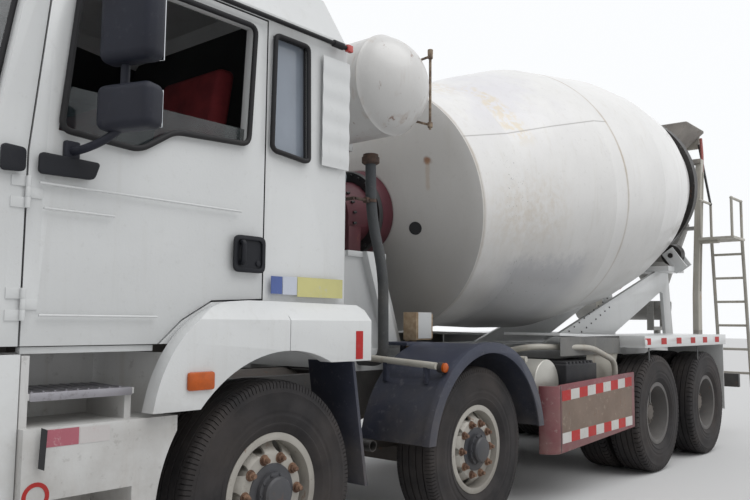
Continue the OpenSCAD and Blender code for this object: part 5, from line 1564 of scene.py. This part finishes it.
for name, key, finish, edge in (("headlampGlass", "headlamp", clearLens, 0.012),
                                ("turnLampGlass", "turnLamp", amberLens, 0.010)):
    inner, outer = frontTrim[key]
    glass = box((frontX - 0.030, inner, low), (frontX - 0.004, outer, high), edge, 3)
    settle(withTwin(glass), name, "chassis", "lamp_lens", finish)
bowl = [(-0.002, 0), (-0.002, 0.030), (0.020, 0.072), (0.022, 0.072), (0.022, 0.0)]
bowls = [lathe(bowl, (frontX - 0.029, y, frontTrim["bowlZ"]), (1, 0, 0), 32) for y in frontTrim["bowls"]]
settle(withTwin(joined(bowls)), "headlampBowls", "chassis", "ring_steel", mirrorGlass)
halfWide, halfTall = frontTrim["plateHalf"]
low, high = frontTrim["plateZ"] - halfTall, frontTrim["plateZ"] + halfTall
platePaint = paintwork("platePaint", (0.36, 0.27, 0.05), 0.5, fade=0.08, dust=(roadDust, 0.4, 0.5, 1.2))
numberPlate = box((frontX - 0.002, -halfWide, low), (frontX + 0.004, halfWide, high), 0.002)
settle(numberPlate, "frontPlate", "chassis", "white_paint", platePaint)
low, high = fromAxle(frontTrim["roofLamp"])
roofLamps = [box((low[0], y + low[1], low[2]), (high[0], y + high[1], high[2]), 0.012, 3)
             for y in frontTrim["roofRows"]]
settle(joined(roofLamps), "roofLamps", "cab", "lamp_lens", amberLens)

# Tail: lamp glass and blank plate

tailTrim = {
    "lampZ": (0.645, 0.755),
    "plateZ": (0.632, 0.768),
    "plateHalf": 0.22,
}
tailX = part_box("lamps")[0].x
bottom, top = tailTrim["lampZ"]
for name, finish, low, high in (("tailRed", None, 0.995, 1.160), ("tailAmber", amberLens, 0.885, 0.985),
                                ("tailClear", clearLens, 0.785, 0.875)):
    glass = box((tailX - 0.012, low, bottom), (tailX + 0.004, high, top), 0.010, 3)
    settle(withTwin(glass), name, "chassis", "lamp_lens", finish)
low, high = tailTrim["plateZ"]
backPlate = box((tailX + 0.022, -tailTrim["plateHalf"], low), (tailX + 0.043, tailTrim["plateHalf"], high),
                0.002)
settle(backPlate, "rearPlate", "chassis", "white_paint", platePaint)

# Hopper: posts in white paint with their ribs, struts, hooks on brackets, a brace and the rolled lip

hopperTrim = {
    "x": -7.779,
    "posts": ((-0.002, 1.300), (0.139, 1.300), (0.117, 1.752), (-0.148, 3.562), (-0.242, 3.562),
              (-0.017, 1.748)),
    "postY": (0.621, 0.6935),
    "rib": (0.012, 0.020, 1.60),
    "ribLean": 8.3,
    "ribFoot": (0.042, 0.692, 1.80),
    "strut": ((-8.005, 0.675, 3.300), (-8.140, 0.640, 3.660), (-8.230, 0.600, 3.900)),
    "hook": ((-8.290, 0.430, 3.960), (-8.330, 0.430, 4.000), (-8.375, 0.430, 3.960), (-8.370, 0.430, 3.850),
             (-8.320, 0.430, 3.800), (-8.290, 0.430, 3.840)),
    "bracket": ((-8.325, 0.300, 3.780), (-8.280, 0.560, 3.970)),
    "brace": ((-8.270, 0.560, 3.830), (-8.130, 0.735, 2.960)),
    "lip": (-7.623, -8.291, 0.614, 4.008),
}
posts = plate(sideOutline([(hopperTrim["x"] + x, z) for x, z in hopperTrim["posts"]]), "side",
              *hopperTrim["postY"], 0.003)
rib = box((0, 0, 0), hopperTrim["rib"], 0.002)
rib.rotation_euler = (0, -math.radians(hopperTrim["ribLean"]), 0)
stepX, y, z = hopperTrim["ribFoot"]
rib = moved(rib, (ahead(hopperTrim["x"] + stepX), y, z))
settle(withTwin(joined([posts, rib])), "hopperPosts", "chassis", "white_paint", creamPaint)
redPaint = paintwork("fadedRed", (0.30, 0.085, 0.075), 0.6, fade=0.2, dust=(roadDust, 0.3, 1.0, 4.0),
                     rust=(rustBrown, 0.5, 12))
settle(withTwin(tube(fromAxle(hopperTrim["strut"]), 0.020, 0.05)), "hopperStruts", "chassis",
       "maroon_paint", redPaint)
hook = tube(fromAxle(hopperTrim["hook"]), 0.010, 0.04, steps=2)
bracket = box(*fromAxle(hopperTrim["bracket"]), 0.006)
settle(withTwin(joined([hook, bracket])), "hopperBrackets", "chassis", "white_paint", creamPaint)
brace = tube(fromAxle(hopperTrim["brace"]), 0.016, 0, steps=3)
settle(brace, "hopperBrace", "chassis", "black_plastic", blackSteel)
front, back, half, z = hopperTrim["lip"]
lipPath = [(front, -half, z), (front, half, z), (back, half, z), (back, -half, z)]
settle(tube(fromAxle(lipPath), 0.012, 0.02, True, 3, 3), "hopperLip", "chassis", "rusty_steel")
